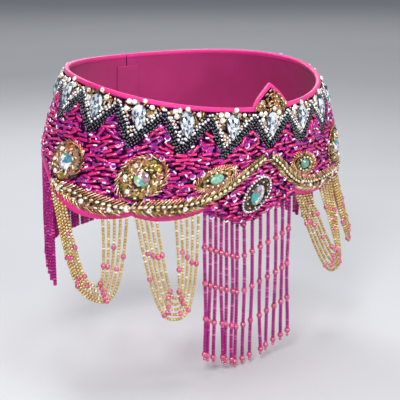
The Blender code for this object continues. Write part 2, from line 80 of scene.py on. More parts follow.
# Edges
TOP_MEAN, TOP_FRONT_DIP, TOP_HIP_RISE = 0.046, 0.014, 0.0055
CROWN_HEIGHT, CROWN_HALF_WIDTH, CROWN_SHARPNESS = 0.020, 0.0205, 0.65
HEM_LOBES = named_rows("start end start_height end_height drop ease",
                       (0.000, 0.046, -0.087, -0.066, 0.000, 1.0),
                       (0.046, 0.109, -0.066, -0.0635, 0.0065, 1.0),
                       (0.109, 0.200, -0.0635, -0.037, 0.012, 1.0),
                       (0.200, 0.401, -0.037, -0.018, 0.000, 8.0))
LOBE_ROUNDNESS = 0.8
TAB_HALF_WIDTH = HEM_LOBES[0]["end"]

# Cloth and satin
CLOTH, CLOTH_STATION, CLOTH_ROWS, CLOTH_INSET = 0.0022, 0.004, 13, 0.0015
BACK_OPENING = 0.0012
PLAIN_END = 0.010
BINDING_HEIGHT, HEM_BINDING_HEIGHT, BINDING_OUTER, BINDING_INNER = 0.0044, 0.0072, 0.0016, -0.0030
BINDING_STATION, BINDING_SIDES, BINDING_SQUARENESS = 0.0022, 14, 0.55
PUCKER, FINE_PACE, UNEVEN_PACE, SLOW_PACE = 0.00016, 2100.0, 310.0, 730.0
UNDERLAP_HALF_WIDTH, UNDERLAP_LIFT, UNDERLAP_HALF_THICKNESS = 0.014, -CLOTH - 0.00105, 0.0007

# Zigzag
PEAK_DEPTH, TIP_DEPTH = 0.0130, 0.0365
TIP_SHIFTS = named_rows("number aside deeper", (-4, 0.0000, 0.0010), (-3, -0.0035, 0.0035),
                        (-2, -0.0015, 0.0040), (-1, -0.0040, 0.0050), (0, -0.0010, 0.0000),
                        (1, -0.0025, 0.0020), (2, -0.0015, 0.0020))
ZIGZAG_HALF_BAND = 0.0052
BLACK_ROWS, BLACK_ROW_STEP, BLACK_LIFT = 3, 0.0035, 0.0016
BLACK_RADIUS, BLACK_STEP = 0.00136, 0.0029
SILVER_RADIUS, SILVER_STEP = 0.00158, 0.0034
SILVER_ROWS = named_rows("offset lift reach",
                         (0.0019, 0.0018, 1.0), (0.0058, 0.0019, 0.66), (0.0098, 0.0019, 0.26))

# Magenta field
FIELD_LOW, FIELD_HIGH = -0.088, 0.066
BUGLE_HALF_LENGTH, BUGLE_RADIUS = 0.0048, 0.00150
BUGLE_COLUMN, BUGLE_ROW = 0.0108, 0.0039
BUGLE_END_MARGIN, BUGLE_END_GAP = 0.0012, 0.0004
SHORT_SHARE = 0.55
OPEN_EDGE_LIFT, OPEN_EDGE_REACH = 0.0012, 0.006
PEAK_SLOPE, PEAK_FADE, PEAK_START, PEAK_REACH, PEAK_LOOSENESS = -0.80, 6.0, 0.004, 0.012, 1.6
DRIFT, DRIFT_ALONG, DRIFT_UP = 0.24, 95.0, 130.0
UNDER_LIFT, BUGLE_LIFT, CUP_LIFT, PAINTED_GLINT_LIFT, PALE_LIFT = 0.0010, 0.0021, 0.0020, 0.0034, 0.0036
CUP_RADIUS, CUP_COLUMN, CUP_ROW = 0.0026, 0.0112, 0.0096
# Larger cup sequins whose inner slope is painted near-white on one side: a painted U-shaped highlight
PAINTED_GLINT_RADIUS, PAINTED_GLINT_COLUMN, PAINTED_GLINT_ROW = 0.0030, 0.030, 0.0170
PAINTED_GLINT_SECTORS = (1.0, 0.35, 0.3, 0.4, 0.3, 1.0, 1.0, 1.0)
# Short near-white bugles: pale beads that also stand in for the field's white glints, a painted highlight
PALE_HALF_LENGTH, PALE_RADIUS, PALE_COLUMN, PALE_ROW = 0.0017, 0.00080, 0.0170, 0.0124

# Filling of the Vs
WHITE_STONES = named_rows("aside depth", (-0.0134, 0.0072), (-0.0088, 0.0062), (-0.0112, 0.0112),
                          (0.0090, 0.0068), (0.0016, 0.0034))
WHITE_SHARE, WHITE_RADII, WHITE_CLEARANCE = 0.92, (0.0021, 0.0028), 0.0022
V_FILL_COLUMN, V_FILL_ROW, V_FILL_SPREAD = 0.0033, 0.0031, 0.36

# Crystals and scroll work
TEARDROP_DEPTH, TEARDROP_HALF_WIDTH, TEARDROP_HALF_LENGTH = 0.017, 0.0064, 0.0113
SWIRLS = named_rows("along height radius first last stone sectors",
                    (0.111, -0.0295, 0.0205, -51.0, 242.0, 0.36, ("front right", "front left")),
                    (0.181, -0.0185, 0.0175, -35.0, 206.0, 0.44, ("side", "side")))
LEAF = {"along": 0.0470, "height": -0.0335, "half_length": 0.0195, "half_width": 0.0100, "tilt": 0.297}
MEDALLION = {"height": -0.055, "half_width": 0.0122, "half_height": 0.0170}
ARM = {
    "along": (0.0030, 0.009, 0.017, 0.025, 0.035, 0.046, 0.060, 0.075, 0.090, 0.102, 0.113),
    "height": (-0.0195, -0.0235, -0.0295, -0.0370, -0.0450, -0.0515,
               -0.0562, -0.0575, -0.0570, -0.0560, -0.0555),
    "width": (0.0085, 0.0100, 0.0105, 0.0105, 0.0105, 0.0110, 0.0135, 0.0150, 0.0140, 0.0110, 0.0060),
}
TAIL = {
    "along": (0.118, 0.128, 0.138, 0.148, 0.158, 0.168, 0.177, 0.185, 0.192),
    "height": (-0.0560, -0.0550, -0.0530, -0.0505, -0.0475, -0.0440, -0.0418, -0.0400, -0.0360),
    "width": (0.0080, 0.0130, 0.0145, 0.0150, 0.0140, 0.0120, 0.0095, 0.0065, 0.0040),
}
NARROW_ARM_END, CHAIN_STEP = 0.047, 0.0052
ROPE_LIFT, ROPE_LEAN = 0.0038, 0.12
RING_POINTS, DOME_STEP = 160, 5
JOINT = {"along": 0.1155, "height": -0.0560, "radius": 0.0036}

# Tones of the stones' facets, sector by sector, and of their rims. They paint the facets' bright and dark
# reflections; on the rainbow and sea-green stones they also give the stones' own colours
RIM_TONE = 0.1
CRYSTAL_PAINTED_FACET_LIGHT = (1.0, 0.90, 0.30, 0.80, 0.12, 0.85, 1.0, 0.45, 0.95, 0.20, 0.75, 0.35)
# Sectors near tone 1 come out white: painted highlights; the others give the rainbow coating's colours
SWIRL_SECTORS = {"front right": (0.60, 0.66, 0.78, 0.62, 0.70, 0.32, 0.42, 0.95, 0.18, 0.24),
                 "front left": (0.86, 0.12, 0.84, 0.90, 0.16, 0.82, 0.95, 0.84, 0.24, 0.88),
                 "side": (0.95, 0.10, 0.06, 0.14, 1.0, 1.0, 0.84, 0.80, 0.86, 1.0)}
# The second, darker row is for the left leaf's stone: painted shade on one of a like pair
LEAF_SECTORS_LEFT_SHADED = ((0.5, 0.7, 0.4, 0.8, 0.45, 0.65), (0.10, 0.30, 0.0, 0.40, 0.05, 0.20))
# Medallion stone sectors: the whitest are painted highlights, the rest the coating's colours
MEDALLION_SECTORS = (0.84, 0.90, 0.78, 0.95, 0.86, 0.60, 0.14, 0.20, 0.12, 0.25, 1.0, 0.80)

# Fringe and swags
FRONT_STRANDS, FRONT_HALF_WIDTH, FRONT_SEGMENT, FRONT_PEARLS = 14, 0.0435, 0.0345, 4
SIDE_FRINGES = ((0.1965, 0.2970, "side"), (0.2978, 0.3985, "rear"))
SIDE_STRANDS, SIDE_LENGTH = 28, 0.098
STRAND_RADIUS, STRAND_STEP = 0.00185, 0.0029
STRAND_POINTS, STRAND_SLACK, ROOT_RISE, ROOT_LIFT = 60, 0.002, 0.0012, -0.0008
SWAY, SWAY_SPREAD, SWAY_OUT = 0.0015, 0.0012, 0.0010
# Tones along each bead: a painted shade darkens the grooves between beads
BEAD_PLACES, BEAD_SWELL, BEAD_GROOVE_SHADE = (0.0, 0.20, 0.80), (0.30, 1.0, 1.0), (0.15, 1.0, 0.15)
BEAD_SIDES, CAP_TONE = 6, 0.5
PEARL_RADIUS = 0.0029
SWAGS = named_rows("name near far spread drop rise forward left_aside left_lift",
                   ("front", 0.0475, 0.1075, 0.0190, 0.094, 0.0060, 0.013, 0.018, 0.008),
                   ("side", 0.1105, 0.1935, 0.0200, 0.084, 0.0050, 0.015, 0.006, 0.000))
SWAG_LOOPS, SWAG_INSET, SWAG_SHAPE, SWAG_POINTS = 5, 0.0025, 3.0, 90
SWAG_RADIUS, SWAG_STEP = 0.00145, 0.0028
SWAG_PEARLS, SWAG_PEARL_SHARE = (0.22, 0.40, 0.62, 0.80), 0.86

# Camera, in the direction of the photograph, with its lights and floor
CAMERA_AZIMUTH, CAMERA_ELEVATION = math.radians(-39.89), math.radians(13.75)
CAMERA_DISTANCE, CAMERA_LENS = 1.15, 103.98
CAMERA_ASIDE, CAMERA_AIM = 0.00509, -0.08097
LIGHTS = named_rows("name place width power",
                    ("key_light", (-0.95, -0.85, 0.75), 0.40, 15.0),
                    ("fill_light", (0.60, -1.15, 0.35), 0.50, 7.0),
                    ("back_light", (0.4, 1.1, 0.9), 0.6, 8.0),
                    ("top_light", (-0.1, -0.2, 1.4), 0.6, 8.0),
                    ("far_light", (1.9, 2.3, 2.2), 3.0, 26.0))
FLOOR_HALF_SIZE, FLOOR_GAP = 12.0, 0.002


def unit(vectors):
    """Vectors divided by their lengths."""
    return vectors / np.linalg.norm(vectors, axis=-1, keepdims=True)


def way_along(points):
    """How far along a line of points each of them is."""
    return np.concatenate([[0.0], np.cumsum(np.linalg.norm(np.diff(points, axis=0), axis=1))])


def squared(wave, power):
    """A sine or cosine brought nearer to 1 and -1 by a power below one, which squares a round section."""
    return np.sign(wave) * np.abs(wave) ** power


def wobble(amount, places):
    """A normal draw for each place."""
    return chance.normal(0.0, amount, len(places))


def any_turn(places):
    """A turn drawn for each place."""
    return chance.uniform(0, 6.28, len(places))


def hip_at(angle, height, lift=0.0):
    """The hip: half an ellipse in front and another behind, each as wide and deep as smooth curves of the
    height say, moved out along its normal by the lift."""
    angle, height, lift = np.broadcast_arrays(angle, height, lift)
    (width, width_slope), before, behind = [(np.polyval(curve, height), np.polyval(np.polyder(curve), height))
                                            for curve in (HALF_WIDTH, FRONT_DEPTH, BACK_DEPTH)]
    depth, depth_slope = np.where(np.cos(angle) > 0.0, before, behind)
    sine, cosine = np.sin(angle), np.cos(angle)
    surface = np.stack([width * sine, -depth * cosine, height], axis=-1)
    rise = -width * depth_slope * cosine ** 2 - depth * width_slope * sine ** 2
    return surface + unit(np.stack([depth * sine, -width * cosine, rise], axis=-1)) * lift[..., None]


ARC_ANGLES = np.linspace(0.0, math.pi, 721)
ARC_LENGTHS = way_along(hip_at(ARC_ANGLES, MEASURING_HEIGHT))
HALF_GIRTH = ARC_LENGTHS[-1]
LAST = HALF_GIRTH - BACK_OPENING / 2.0
V_WIDTH = 2.0 * HALF_GIRTH / V_COUNT
V_MIDDLES = (np.arange(V_COUNT) - V_COUNT // 2) * V_WIDTH


def angle_at(along):
    """The angle at a distance along the belt, measured round the hip at the measuring height."""
    return np.sign(along) * np.interp(np.abs(along), ARC_LENGTHS, ARC_ANGLES)


def on_belt(along, height, lift=0.0):
    """The point at a distance along the belt, a height and a lift. The front leans: above a middle height it
    moves along the belt, by a share of the height that fades away from the centre front."""
    leaning = LEAN * (height - LEAN_HEIGHT) * np.exp(-(along / LEAN_REACH) ** 2)
    return hip_at(angle_at(along + leaning), height, lift)


def top_line(along):
    """The top edge without its crown: a mean height, lower in front and higher at the sides."""
    angle = angle_at(along)
    return TOP_MEAN - TOP_FRONT_DIP * np.cos(angle) - TOP_HIP_RISE * np.cos(2.0 * angle)


def top_edge(along):
    """The top edge: the line plus the pointed crown at the centre front."""
    share = np.clip(1.0 - np.abs(along) / CROWN_HALF_WIDTH, 0.0, 1.0)
    return top_line(along) + CROWN_HEIGHT * share ** CROWN_SHARPNESS


def hem_edge(along):
    """The hem: each lobe runs from one end height to the next and bulges down between them."""
    distance = np.abs(along)
    height = np.full(np.shape(distance), HEM_LOBES[0]["start_height"])
    for lobe in HEM_LOBES:
        share = np.clip((distance - lobe["start"]) / (lobe["end"] - lobe["start"]), 0.0, 1.0)
        run = 1.0 - (1.0 - share) ** lobe["ease"]
        line = lobe["start_height"] + (lobe["end_height"] - lobe["start_height"]) * run
        bulge = lobe["drop"] * np.sin(math.pi * share) ** LOBE_ROUNDNESS
        height = np.where(distance >= lobe["start"], line - bulge, height)
    return height


def zigzag_middle(along):
    """The middle of the zigzag: straight up and down between a low tip in each V and a peak between two. Some
    tips hang a little aside and deeper."""
    numbers = np.arange(V_COUNT) - V_COUNT // 2
    aside, deeper = np.zeros(V_COUNT), np.zeros(V_COUNT)
    for shift in TIP_SHIFTS:
        aside[shift["number"] + V_COUNT // 2] = shift["aside"]
        deeper[shift["number"] + V_COUNT // 2] = shift["deeper"]
    places = np.stack([(numbers - 0.5) * V_WIDTH, numbers * V_WIDTH + aside], axis=-1).ravel()
    depths = np.stack([np.full(V_COUNT, PEAK_DEPTH), TIP_DEPTH + deeper], axis=-1).ravel()
    return top_line(along) - np.interp(along, [*places, HALF_GIRTH], [*depths, PEAK_DEPTH])


def ribbon_at(rows, along):
    """Height and width of a scroll ribbon at distances along the belt: smooth curves through its rows."""
    known, at = np.array(rows["along"]), np.abs(along)
    piece = np.clip(np.searchsorted(known, at, side="right") - 1, 0, len(known) - 2)
    step = known[piece + 1] - known[piece]
    share = (at - known[piece]) / step
    found = []
    for column in ("height", "width"):
        values = np.array(rows[column])
        slopes = np.gradient(values, known)
        found.append(values[piece] * (1 + 2 * share) * (1 - share) ** 2
                     + values[piece + 1] * share ** 2 * (3 - 2 * share)
                     + step * (slopes[piece] * share * (1 - share) ** 2
                               - slopes[piece + 1] * share ** 2 * (1 - share)))
    return found


def belt_frame(along, height, lift=0.0):
    """Points of the belt, and at each its directions along the belt, up it and out of it."""
    step = 0.0001
    ahead = unit(on_belt(along + step, height, lift) - on_belt(along - step, height, lift))
    above = on_belt(along, height + step, lift) - on_belt(along, height - step, lift)
    outward = unit(np.cross(ahead, above))
    return on_belt(along, height, lift), np.stack([ahead, np.cross(outward, ahead), outward], axis=-1)


def laid_along(along, height, spacing):
    """Even places on a line over the belt: their along, height, and the line's direction in the surface."""
    way = way_along(on_belt(along, height))
    count = max(1, round(way[-1] / spacing))
    at = (np.arange(count) + 0.5) * way[-1] / count
    reach = spacing * 0.25
    before, middle, after = [(np.interp(at + move, way, along), np.interp(at + move, way, height))
                             for move in (-reach, 0.0, reach)]
    run = on_belt(*after) - on_belt(*before)
    directions = belt_frame(*middle)[1]
    turn = np.arctan2((run * directions[..., 1]).sum(-1), (run * directions[..., 0]).sum(-1))
    return *middle, turn


def circle(turn):
    """A round outline."""
    return np.cos(turn), np.sin(turn)


def oval(half_width, half_height):
    """An oval outline."""
    return lambda turn: (half_width * np.cos(turn), half_height * np.sin(turn))


def teardrop(turn):
    """A drop outline, round at the top and pointed at the bottom."""
    across = -TEARDROP_HALF_WIDTH * 1.25 * np.sin(turn) * np.abs(np.cos(turn / 2.0)) ** 0.8
    return across, TEARDROP_HALF_LENGTH * np.cos(turn)


def triangles_of(*groups):
    """Rows of three corners, from groups of three arrays of them."""
    return np.concatenate([np.stack(np.broadcast_arrays(*group), axis=-1).reshape(-1, 3) for group in groups])


def gem(outline, rings, sides, ends, smooth=True):
    """A small closed shape: rings of an outline, each with its share of the size, its rise and its turn in
    half steps, and a point at each end. Neighbours that are half a step apart are joined by leaning
    triangles. It notes for each triangle which ring it rises from."""
    index = 1 + np.arange(len(rings) * sides).reshape(len(rings), sides)
    last = index[-1, -1] + 1
    vertices = [np.array([[0.0, 0.0, ends[0]]])]
    for share, rise, half_step in rings:
        across, up = outline((np.arange(sides) + 0.5 * half_step) * 2.0 * math.pi / sides)
        vertices.append(np.stack([across * share, up * share, np.full(sides, rise)], axis=-1))
    vertices.append(np.array([[0.0, 0.0, ends[1]]]))
    groups = [(0, np.roll(index[0], -1), index[0]), (last, index[-1], np.roll(index[-1], -1))]
    for row, (below, above) in enumerate(zip(index[:-1], index[1:])):
        below_next, above_next = np.roll(below, -1), np.roll(above, -1)
        if rings[row + 1][2] > rings[row][2]:
            groups += [(below, below_next, above), (below_next, above_next, above)]
        else:
            groups += [(below, below_next, above_next), (below, above_next, above)]
    ring = np.repeat([-1, len(rings) - 1, *np.repeat(np.arange(len(rings) - 1), 2)], sides)
    return {"vertices": np.concatenate(vertices), "triangles": triangles_of(*groups), "smooth": smooth,
            "ring": ring}


def lying(shape, half_length, radius):
    """A shape made upright, stretched and laid down so that its length runs along the first direction."""
    x, y, z = shape["vertices"].T
    return {**shape, "vertices": np.stack([z * half_length, x * radius, y * radius], axis=-1)}


PEARL_RINGS = [(math.sin(slope), -math.cos(slope), 0) for slope in np.linspace(0.42, math.pi - 0.42, 6)]
SEED = gem(circle, ((0.72, -0.66, 0), (1.0, 0.0, 0), (0.72, 0.66, 0)), 6, (-0.95, 0.95))
PEARL = gem(circle, PEARL_RINGS, 12, (-1, 1))
ROD = gem(circle, ((0.82, -1.0, 0), (1.0, -0.88, 0), (1.0, 0.88, 0), (0.82, 1.0, 0)), 6, (-0.96, 0.96))
STICK = gem(circle, ((1.0, -0.94, 0), (1.0, 0.94, 0)), 5, (-1.0, 1.0))
CUP = gem(circle, ((1.0, 0.16, 0), (0.98, 0.26, 0), (0.5, 0.06, 0)), 8, (0.0, -0.04), smooth=False)
# A cup sequin whose inner-slope facets carry a painted highlight
PAINTED_GLINT_CUP = gem(circle, ((1.0, 0.16, 0), (0.96, 0.30, 0), (0.60, 0.08, 0)), 12, (0.0, -0.02), smooth=False)
CHATON = gem(circle, ((1.0, 0.0, 0), (1.0, 0.22, 0), (0.66, 0.62, 1)), 8, (0.0, 0.68), smooth=False)


def scatter(shape, along, height, lift, turn=0.0, tilt=0.0, size=1.0, facets=0.0, tones=None):
    """Copies of a small shape on the belt: sized, tilted up along its length, turned in the surface and
    carried to its place. Tone is a random number for each copy, plus one for each facet weighed by
    facets, or else the tones that are given for each copy and facet."""
    values = np.broadcast_arrays(*(np.asarray(v, float) for v in (along, height, lift, turn, tilt, size)))
    along, height, lift, turn, tilt, size = (np.ravel(value) for value in values)
    place, directions = belt_frame(along, height, lift)
    return carried(shape, place, directions, turn, tilt, size, facets, tones)


def batch_of(vertices, triangles, tone, smooth=True):
    """One batch of arrays: corners, triangles, and each triangle's tone and whether it is smooth."""
    triangles = triangles.reshape(-1, 3)
    return {"vertices": vertices.reshape(-1, 3), "triangles": triangles, "tone": np.ravel(tone),
            "smooth": np.full(len(triangles), smooth)}


def carried(shape, place, directions, turn, tilt, size, facets=0.0, tones=None):
    """Copies of a shape at places with three directions each, as one batch of arrays."""
    ct, st, cl, sl = np.cos(turn), np.sin(turn), np.cos(tilt), np.sin(tilt)
    none = np.zeros_like(ct)
    columns = [[ct * cl, st * cl, sl], [-st, ct, none], [-ct * sl, -st * sl, cl]]
    local = np.stack([np.stack(column, axis=-1) for column in columns], axis=-1)
    vertices = np.einsum("nij,vj->nvi", directions @ local, shape["vertices"]) * size[:, None, None]
    count, corners, faces = len(place), len(shape["vertices"]), len(shape["triangles"])
    triangles = shape["triangles"][None] + (np.arange(count) * corners)[:, None, None]
    tone = chance.random((count, 1)) * (1.0 - facets) + chance.random((count, faces)) * facets
    if tones is not None:
        tone = np.broadcast_to(tones, (count, faces))
    return batch_of(vertices + place[:, None, :], triangles, tone, shape["smooth"])


def joined(batches):
    """Several batches as one."""
    shifts = np.cumsum([0] + [len(batch["vertices"]) for batch in batches[:-1]])
    whole = {kind: np.concatenate([batch[kind] for batch in batches])
             for kind in ("vertices", "tone", "smooth")}
    whole["triangles"] = np.concatenate([batch["triangles"] + shift for batch, shift in zip(batches, shifts)])
    return whole


def linked(name, data):
    """A new object in the scene."""
    made = bpy.data.objects.new(name, data)
    bpy.context.scene.collection.objects.link(made)
    return made


def dressed(name, mesh, replaced):
    """A visible piece of the belt, in place of the solids that it replaces."""
    made = linked(name, mesh)
    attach(made, "root")
    if replaced:
        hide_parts(*replaced)
    return made


def add_piece(name, batches, finish, replaced=()):
    """One object from batches of arrays; each face keeps its tone as an attribute that the finish reads."""
    whole = joined(batches)
    mesh = bpy.data.meshes.new(name)
    count = len(whole["triangles"])
    mesh.vertices.add(len(whole["vertices"]))
    mesh.vertices.foreach_set("co", whole["vertices"].astype(np.float32).ravel())
    mesh.loops.add(count * 3)
    mesh.loops.foreach_set("vertex_index", whole["triangles"].astype(np.int32).ravel())
    mesh.polygons.add(count)
    mesh.polygons.foreach_set("loop_start", np.arange(0, count * 3, 3, dtype=np.int32))
    mesh.polygons.foreach_set("use_smooth", whole["smooth"])
    mesh.attributes.new("tone", "FLOAT", "FACE").data.foreach_set("value", whole["tone"].astype(np.float32))
    mesh.update(calc_edges=True)
    mesh.materials.append(finish)
    dressed(name, mesh, replaced)


def tube(paths, radii, sides, reference, tone):
    """Closed tubes along paths: a ring round each point, square to the path, with its radius, and a point at
    each end. Paths is strands by points by three; radii is one number a point, and tone one for each point
    but the last."""
    strands, points = paths.shape[:2]
    run = unit(np.gradient(paths, axis=1))
    side = unit(np.cross(run, reference))
    other = np.cross(run, side)
    turn = np.arange(sides) * 2.0 * math.pi / sides
    ring = side[:, :, None] * np.cos(turn)[:, None] + other[:, :, None] * np.sin(turn)[:, None]
    rings = paths[:, :, None] + ring * np.broadcast_to(radii, (strands, points))[:, :, None, None]
    vertices = np.concatenate([rings.reshape(-1, 3), paths[:, 0], paths[:, -1]])
    index = np.arange(strands * points * sides).reshape(strands, points, sides)
    low, high = index[:, :-1], index[:, 1:]
    low_next, high_next = np.roll(low, -1, axis=2), np.roll(high, -1, axis=2)
    body = np.stack([np.stack([low, low_next, high_next], -1), np.stack([low, high_next, high], -1)], axis=3)
    poles = (index.size + np.arange(2 * strands)).reshape(2, strands, 1)
    caps = triangles_of((poles[0], np.roll(index[:, 0], -1, axis=1), index[:, 0]),
                        (poles[1], index[:, -1], np.roll(index[:, -1], -1, axis=1)))
    tones = np.broadcast_to(tone[:, :, None, None], body.shape[:4])
    return batch_of(vertices, np.concatenate([body.reshape(-1, 3), caps]),
                    np.concatenate([tones.ravel(), np.full(len(caps), CAP_TONE)]))


def beaded(paths, step, radius, reference):
    """Strands of seed beads as tubes: along each path the radius swells and narrows once a bead, and a
    painted shade lowers the tone in the grooves between beads."""
    ways = [way_along(path) for path in paths]
    beads = max(2, round(float(np.mean([way[-1] for way in ways])) / step))
    share = np.append((np.arange(beads)[:, None] + np.array(BEAD_PLACES)).ravel() / beads, 1.0)
    swell = np.array([*BEAD_SWELL * beads, BEAD_SWELL[0]]) * radius
    followed = np.array([np.stack([np.interp(share * way[-1], way, line) for line in path.T], axis=-1)
                         for path, way in zip(paths, ways)])
    # Painted shade: the grooves between beads take a low tone
    tone = chance.uniform(0.45, 1.0, (len(paths), beads, 1)) * np.array(BEAD_GROOVE_SHADE)
    return tube(followed, swell, BEAD_SIDES, reference, tone.reshape(len(paths), -1))


def grid_piece(name, points, finishes, which, replaced):
    """A closed wall from points, stations by places round a section, with a flat face at each end. Which
    gives each place round the section the number of its finish."""
    stations, around = points.shape[:2]
    index = np.arange(stations * around).reshape(stations, around)
    following = np.roll(index, -1, axis=1)
    sides = np.stack([index[:-1], following[:-1], following[1:], index[1:]], axis=-1).reshape(-1, 4)
    faces = [*sides.tolist(), index[0].tolist()[::-1], index[-1].tolist()]
    mesh = bpy.data.meshes.new(name)
    mesh.from_pydata(points.reshape(-1, 3).tolist(), [], [face[::-1] for face in faces])
    for finish in finishes:
        mesh.materials.append(finish)
    kinds = [*np.broadcast_to(which, (stations - 1, around)).ravel(), 0, 0]
    mesh.polygons.foreach_set("material_index", np.array(kinds, dtype=np.int32))
    mesh.shade_smooth()
    mesh.set_sharp_from_angle(angle=math.radians(50.0))
    mesh.update()
    return dressed(name, mesh, replaced)


def set_values(node, values):
    """Sets a node's inputs by name."""
    for socket, value in values.items():
        node.inputs[socket.replace("_", " ")].default_value = value


def added(tree, kind, fed, **values):
    """A new node: fed is the sockets that feed its inputs, and the rest are plain values of others."""
    node = tree.nodes.new("ShaderNode" + kind)
    set_values(node, values)
    for socket, source in fed.items():
        tree.links.new(source, node.inputs[socket])
    return node


def new_finish(name, roughness, metallic=0.0, coat=0.0, **values):
    """A Principled material with its even values on the shader's own sockets."""
    made = bpy.data.materials.new(name)
    made.use_nodes = True
    shader = made.node_tree.nodes["Principled BSDF"]
    set_values(shader, {"Roughness": roughness, "Metallic": metallic, "Coat Weight": coat,
                        "Coat Roughness": 0.06, **values})
    return made, made.node_tree, shader.inputs


def ramp_from(tree, source, stops):
    """A colour ramp fed by a number; stops are a place and a colour each."""
    ramp = added(tree, "ValToRGB", {"Fac": source})
    while len(ramp.color_ramp.elements) < len(stops):
        ramp.color_ramp.elements.new(0.5)
    for element, (place, *colour) in zip(ramp.color_ramp.elements, stops):
        element.position = place
        element.color = (*colour, 1.0)
    return ramp.outputs["Color"]


def noise_from(tree, scale, stretch=(1.0, 1.0, 1.0)):
    """Noise over Object coordinates."""
    place = added(tree, "TexCoord", {})
    mapping = added(tree, "Mapping", {"Vector": place.outputs["Object"]}, Scale=stretch)
    noise = added(tree, "TexNoise", {"Vector": mapping.outputs["Vector"]}, Scale=scale, Detail=3.0)
    return noise.outputs["Fac"]


def noise_colour(tree, inputs, scale, stops, **stretch):
    """A base colour that a slow noise shades."""
    tree.links.new(ramp_from(tree, noise_from(tree, scale, **stretch), stops), inputs["Base Color"])


def bump_from(tree, inputs, source, strength, distance):
    """A bump on the shader from a number."""
    bump = added(tree, "Bump", {"Height": source}, Strength=strength, Distance=distance)
    tree.links.new(bump.outputs["Normal"], inputs["Normal"])


def bead_finish(name, stops, roughness, metallic, coat, **values):
    """Beads and stones: the tone of each copy or facet picks its colour, and a fine noise dulls the gloss
    here and there."""
    made, tree, inputs = new_finish(name, roughness, metallic, coat, **values)
    tone = added(tree, "Attribute", {})
    tone.attribute_name = "tone"
    tree.links.new(ramp_from(tree, tone.outputs["Fac"], stops), inputs["Base Color"])
    wear = added(tree, "MapRange", {"Value": noise_from(tree, 160.0)}, To_Min=roughness * 0.6,
                 To_Max=min(1.0, roughness * 1.7))
    tree.links.new(wear.outputs["Result"], inputs["Roughness"])
    return made


def cloth_finish(name, stops, roughness, weave, sheen, **values):
    """Woven cloth: two crossed waves make the weave's bump, and a slow noise shades the colour."""
    made, tree, inputs = new_finish(name, roughness, Sheen_Weight=sheen, **values)
    noise_colour(tree, inputs, 30.0, stops)
    place = added(tree, "TexCoord", {})
    both = added(tree, "Math", {})
    both.operation = "ADD"
    for number, direction in enumerate("XZ"):
        wave = added(tree, "TexWave", {"Vector": place.outputs["Object"]}, Scale=weave, Distortion=0.6)
        wave.bands_direction = direction
        tree.links.new(wave.outputs["Fac"], both.inputs[number])
    bump_from(tree, inputs, both.outputs["Value"], 0.25, 0.0004)
    return made


MAGENTA_BUGLE = bead_finish("magenta_bugle_glass", (
    (0.0, 0.22, 0.0, 0.18), (0.12, 0.42, 0.0, 0.20), (0.35, 0.54, 0.0, 0.16), (0.85, 0.67, 0.005, 0.15),
    (1.0, 0.88, 0.05, 0.30)), 0.22, 0.05, 0.6, Coat_IOR=1.7, Coat_Roughness=0.12)
MAGENTA_UNDER = bead_finish("dark_purple_bugle_glass", (
    (0.0, 0.03, 0.0, 0.03), (0.6, 0.14, 0.0, 0.11), (1.0, 0.38, 0.0, 0.28)), 0.25, 0.05, 0.15,
    Specular_IOR_Level=0.35)
# The top stop is near-white: a painted highlight on the cup facets that draw the highest tones
MAGENTA_SEQUIN = bead_finish("magenta_sequin_foil", (
    (0.0, 0.20, 0.0, 0.22), (0.5, 0.46, 0.0, 0.40), (0.80, 0.82, 0.05, 0.58), (0.88, 1.0, 0.84, 1.0)),
    0.14, 0.3, 0.6)
# Near-white glass: pale bugles whose brightness also paints the field's glints
PALE_GLINT_BUGLE = bead_finish("pale_lilac_bugle_glass", (
    (0.0, 0.92, 0.62, 0.90), (0.4, 1.0, 0.88, 1.0), (1.0, 1.0, 1.0, 1.0)), 0.1, 0.0, 1.0)
BLACK_SEED = bead_finish("black_rainbow_seed_glass", (
    (0.0, 0.002, 0.002, 0.004), (0.6, 0.004, 0.008, 0.012), (0.86, 0.008, 0.040, 0.050),
    (1.0, 0.03, 0.08, 0.10)), 0.20, 0.2, 1.0, Coat_IOR=1.8, Coat_Roughness=0.14)
SILVER_SEED = bead_finish("silver_seed_glass", (
    (0.0, 0.50, 0.44, 0.46), (0.4, 0.86, 0.84, 0.85), (1.0, 1.0, 1.0, 1.0)), 0.16, 0.6, 0.8)
WHITE_STONE = bead_finish("white_foiled_stone", (
    (0.0, 0.30, 0.22, 0.14), (0.18, 0.70, 0.60, 0.44), (0.35, 0.96, 0.93, 0.88), (1.0, 1.0, 1.0, 1.0)),
    0.08, 0.2, 1.0)
V_FILL = bead_finish("gold_and_coral_fill", (
    (0.0, 0.02, 0.012, 0.008), (0.22, 0.14, 0.09, 0.03), (0.40, 0.52, 0.32, 0.09), (0.56, 0.46, 0.08, 0.08),
    (0.72, 0.66, 0.46, 0.18), (0.90, 0.62, 0.54, 0.44), (1.0, 1.0, 1.0, 0.94)), 0.14, 0.5, 0.7)
PALE_GOLD = bead_finish("pale_gold_bead", (
    (0.0, 0.52, 0.30, 0.10), (0.3, 0.86, 0.66, 0.34), (0.7, 0.98, 0.88, 0.62), (1.0, 1.0, 1.0, 0.94)),
    0.16, 0.3, 0.9)
FINE_GOLD = bead_finish("olive_gold_fine_bugle", (
    (0.0, 0.14, 0.07, 0.02), (0.5, 0.52, 0.32, 0.10), (1.0, 0.94, 0.72, 0.36)), 0.2, 0.7, 0.6)
SWAG_GOLD = bead_finish("swag_gold_bead", (
    (0.0, 0.14, 0.06, 0.01), (0.2, 0.30, 0.16, 0.03), (0.5, 0.66, 0.42, 0.12), (0.85, 0.80, 0.56, 0.22),
    (1.0, 1.0, 0.90, 0.62)), 0.24, 0.45, 0.4, Specular_IOR_Level=0.3)
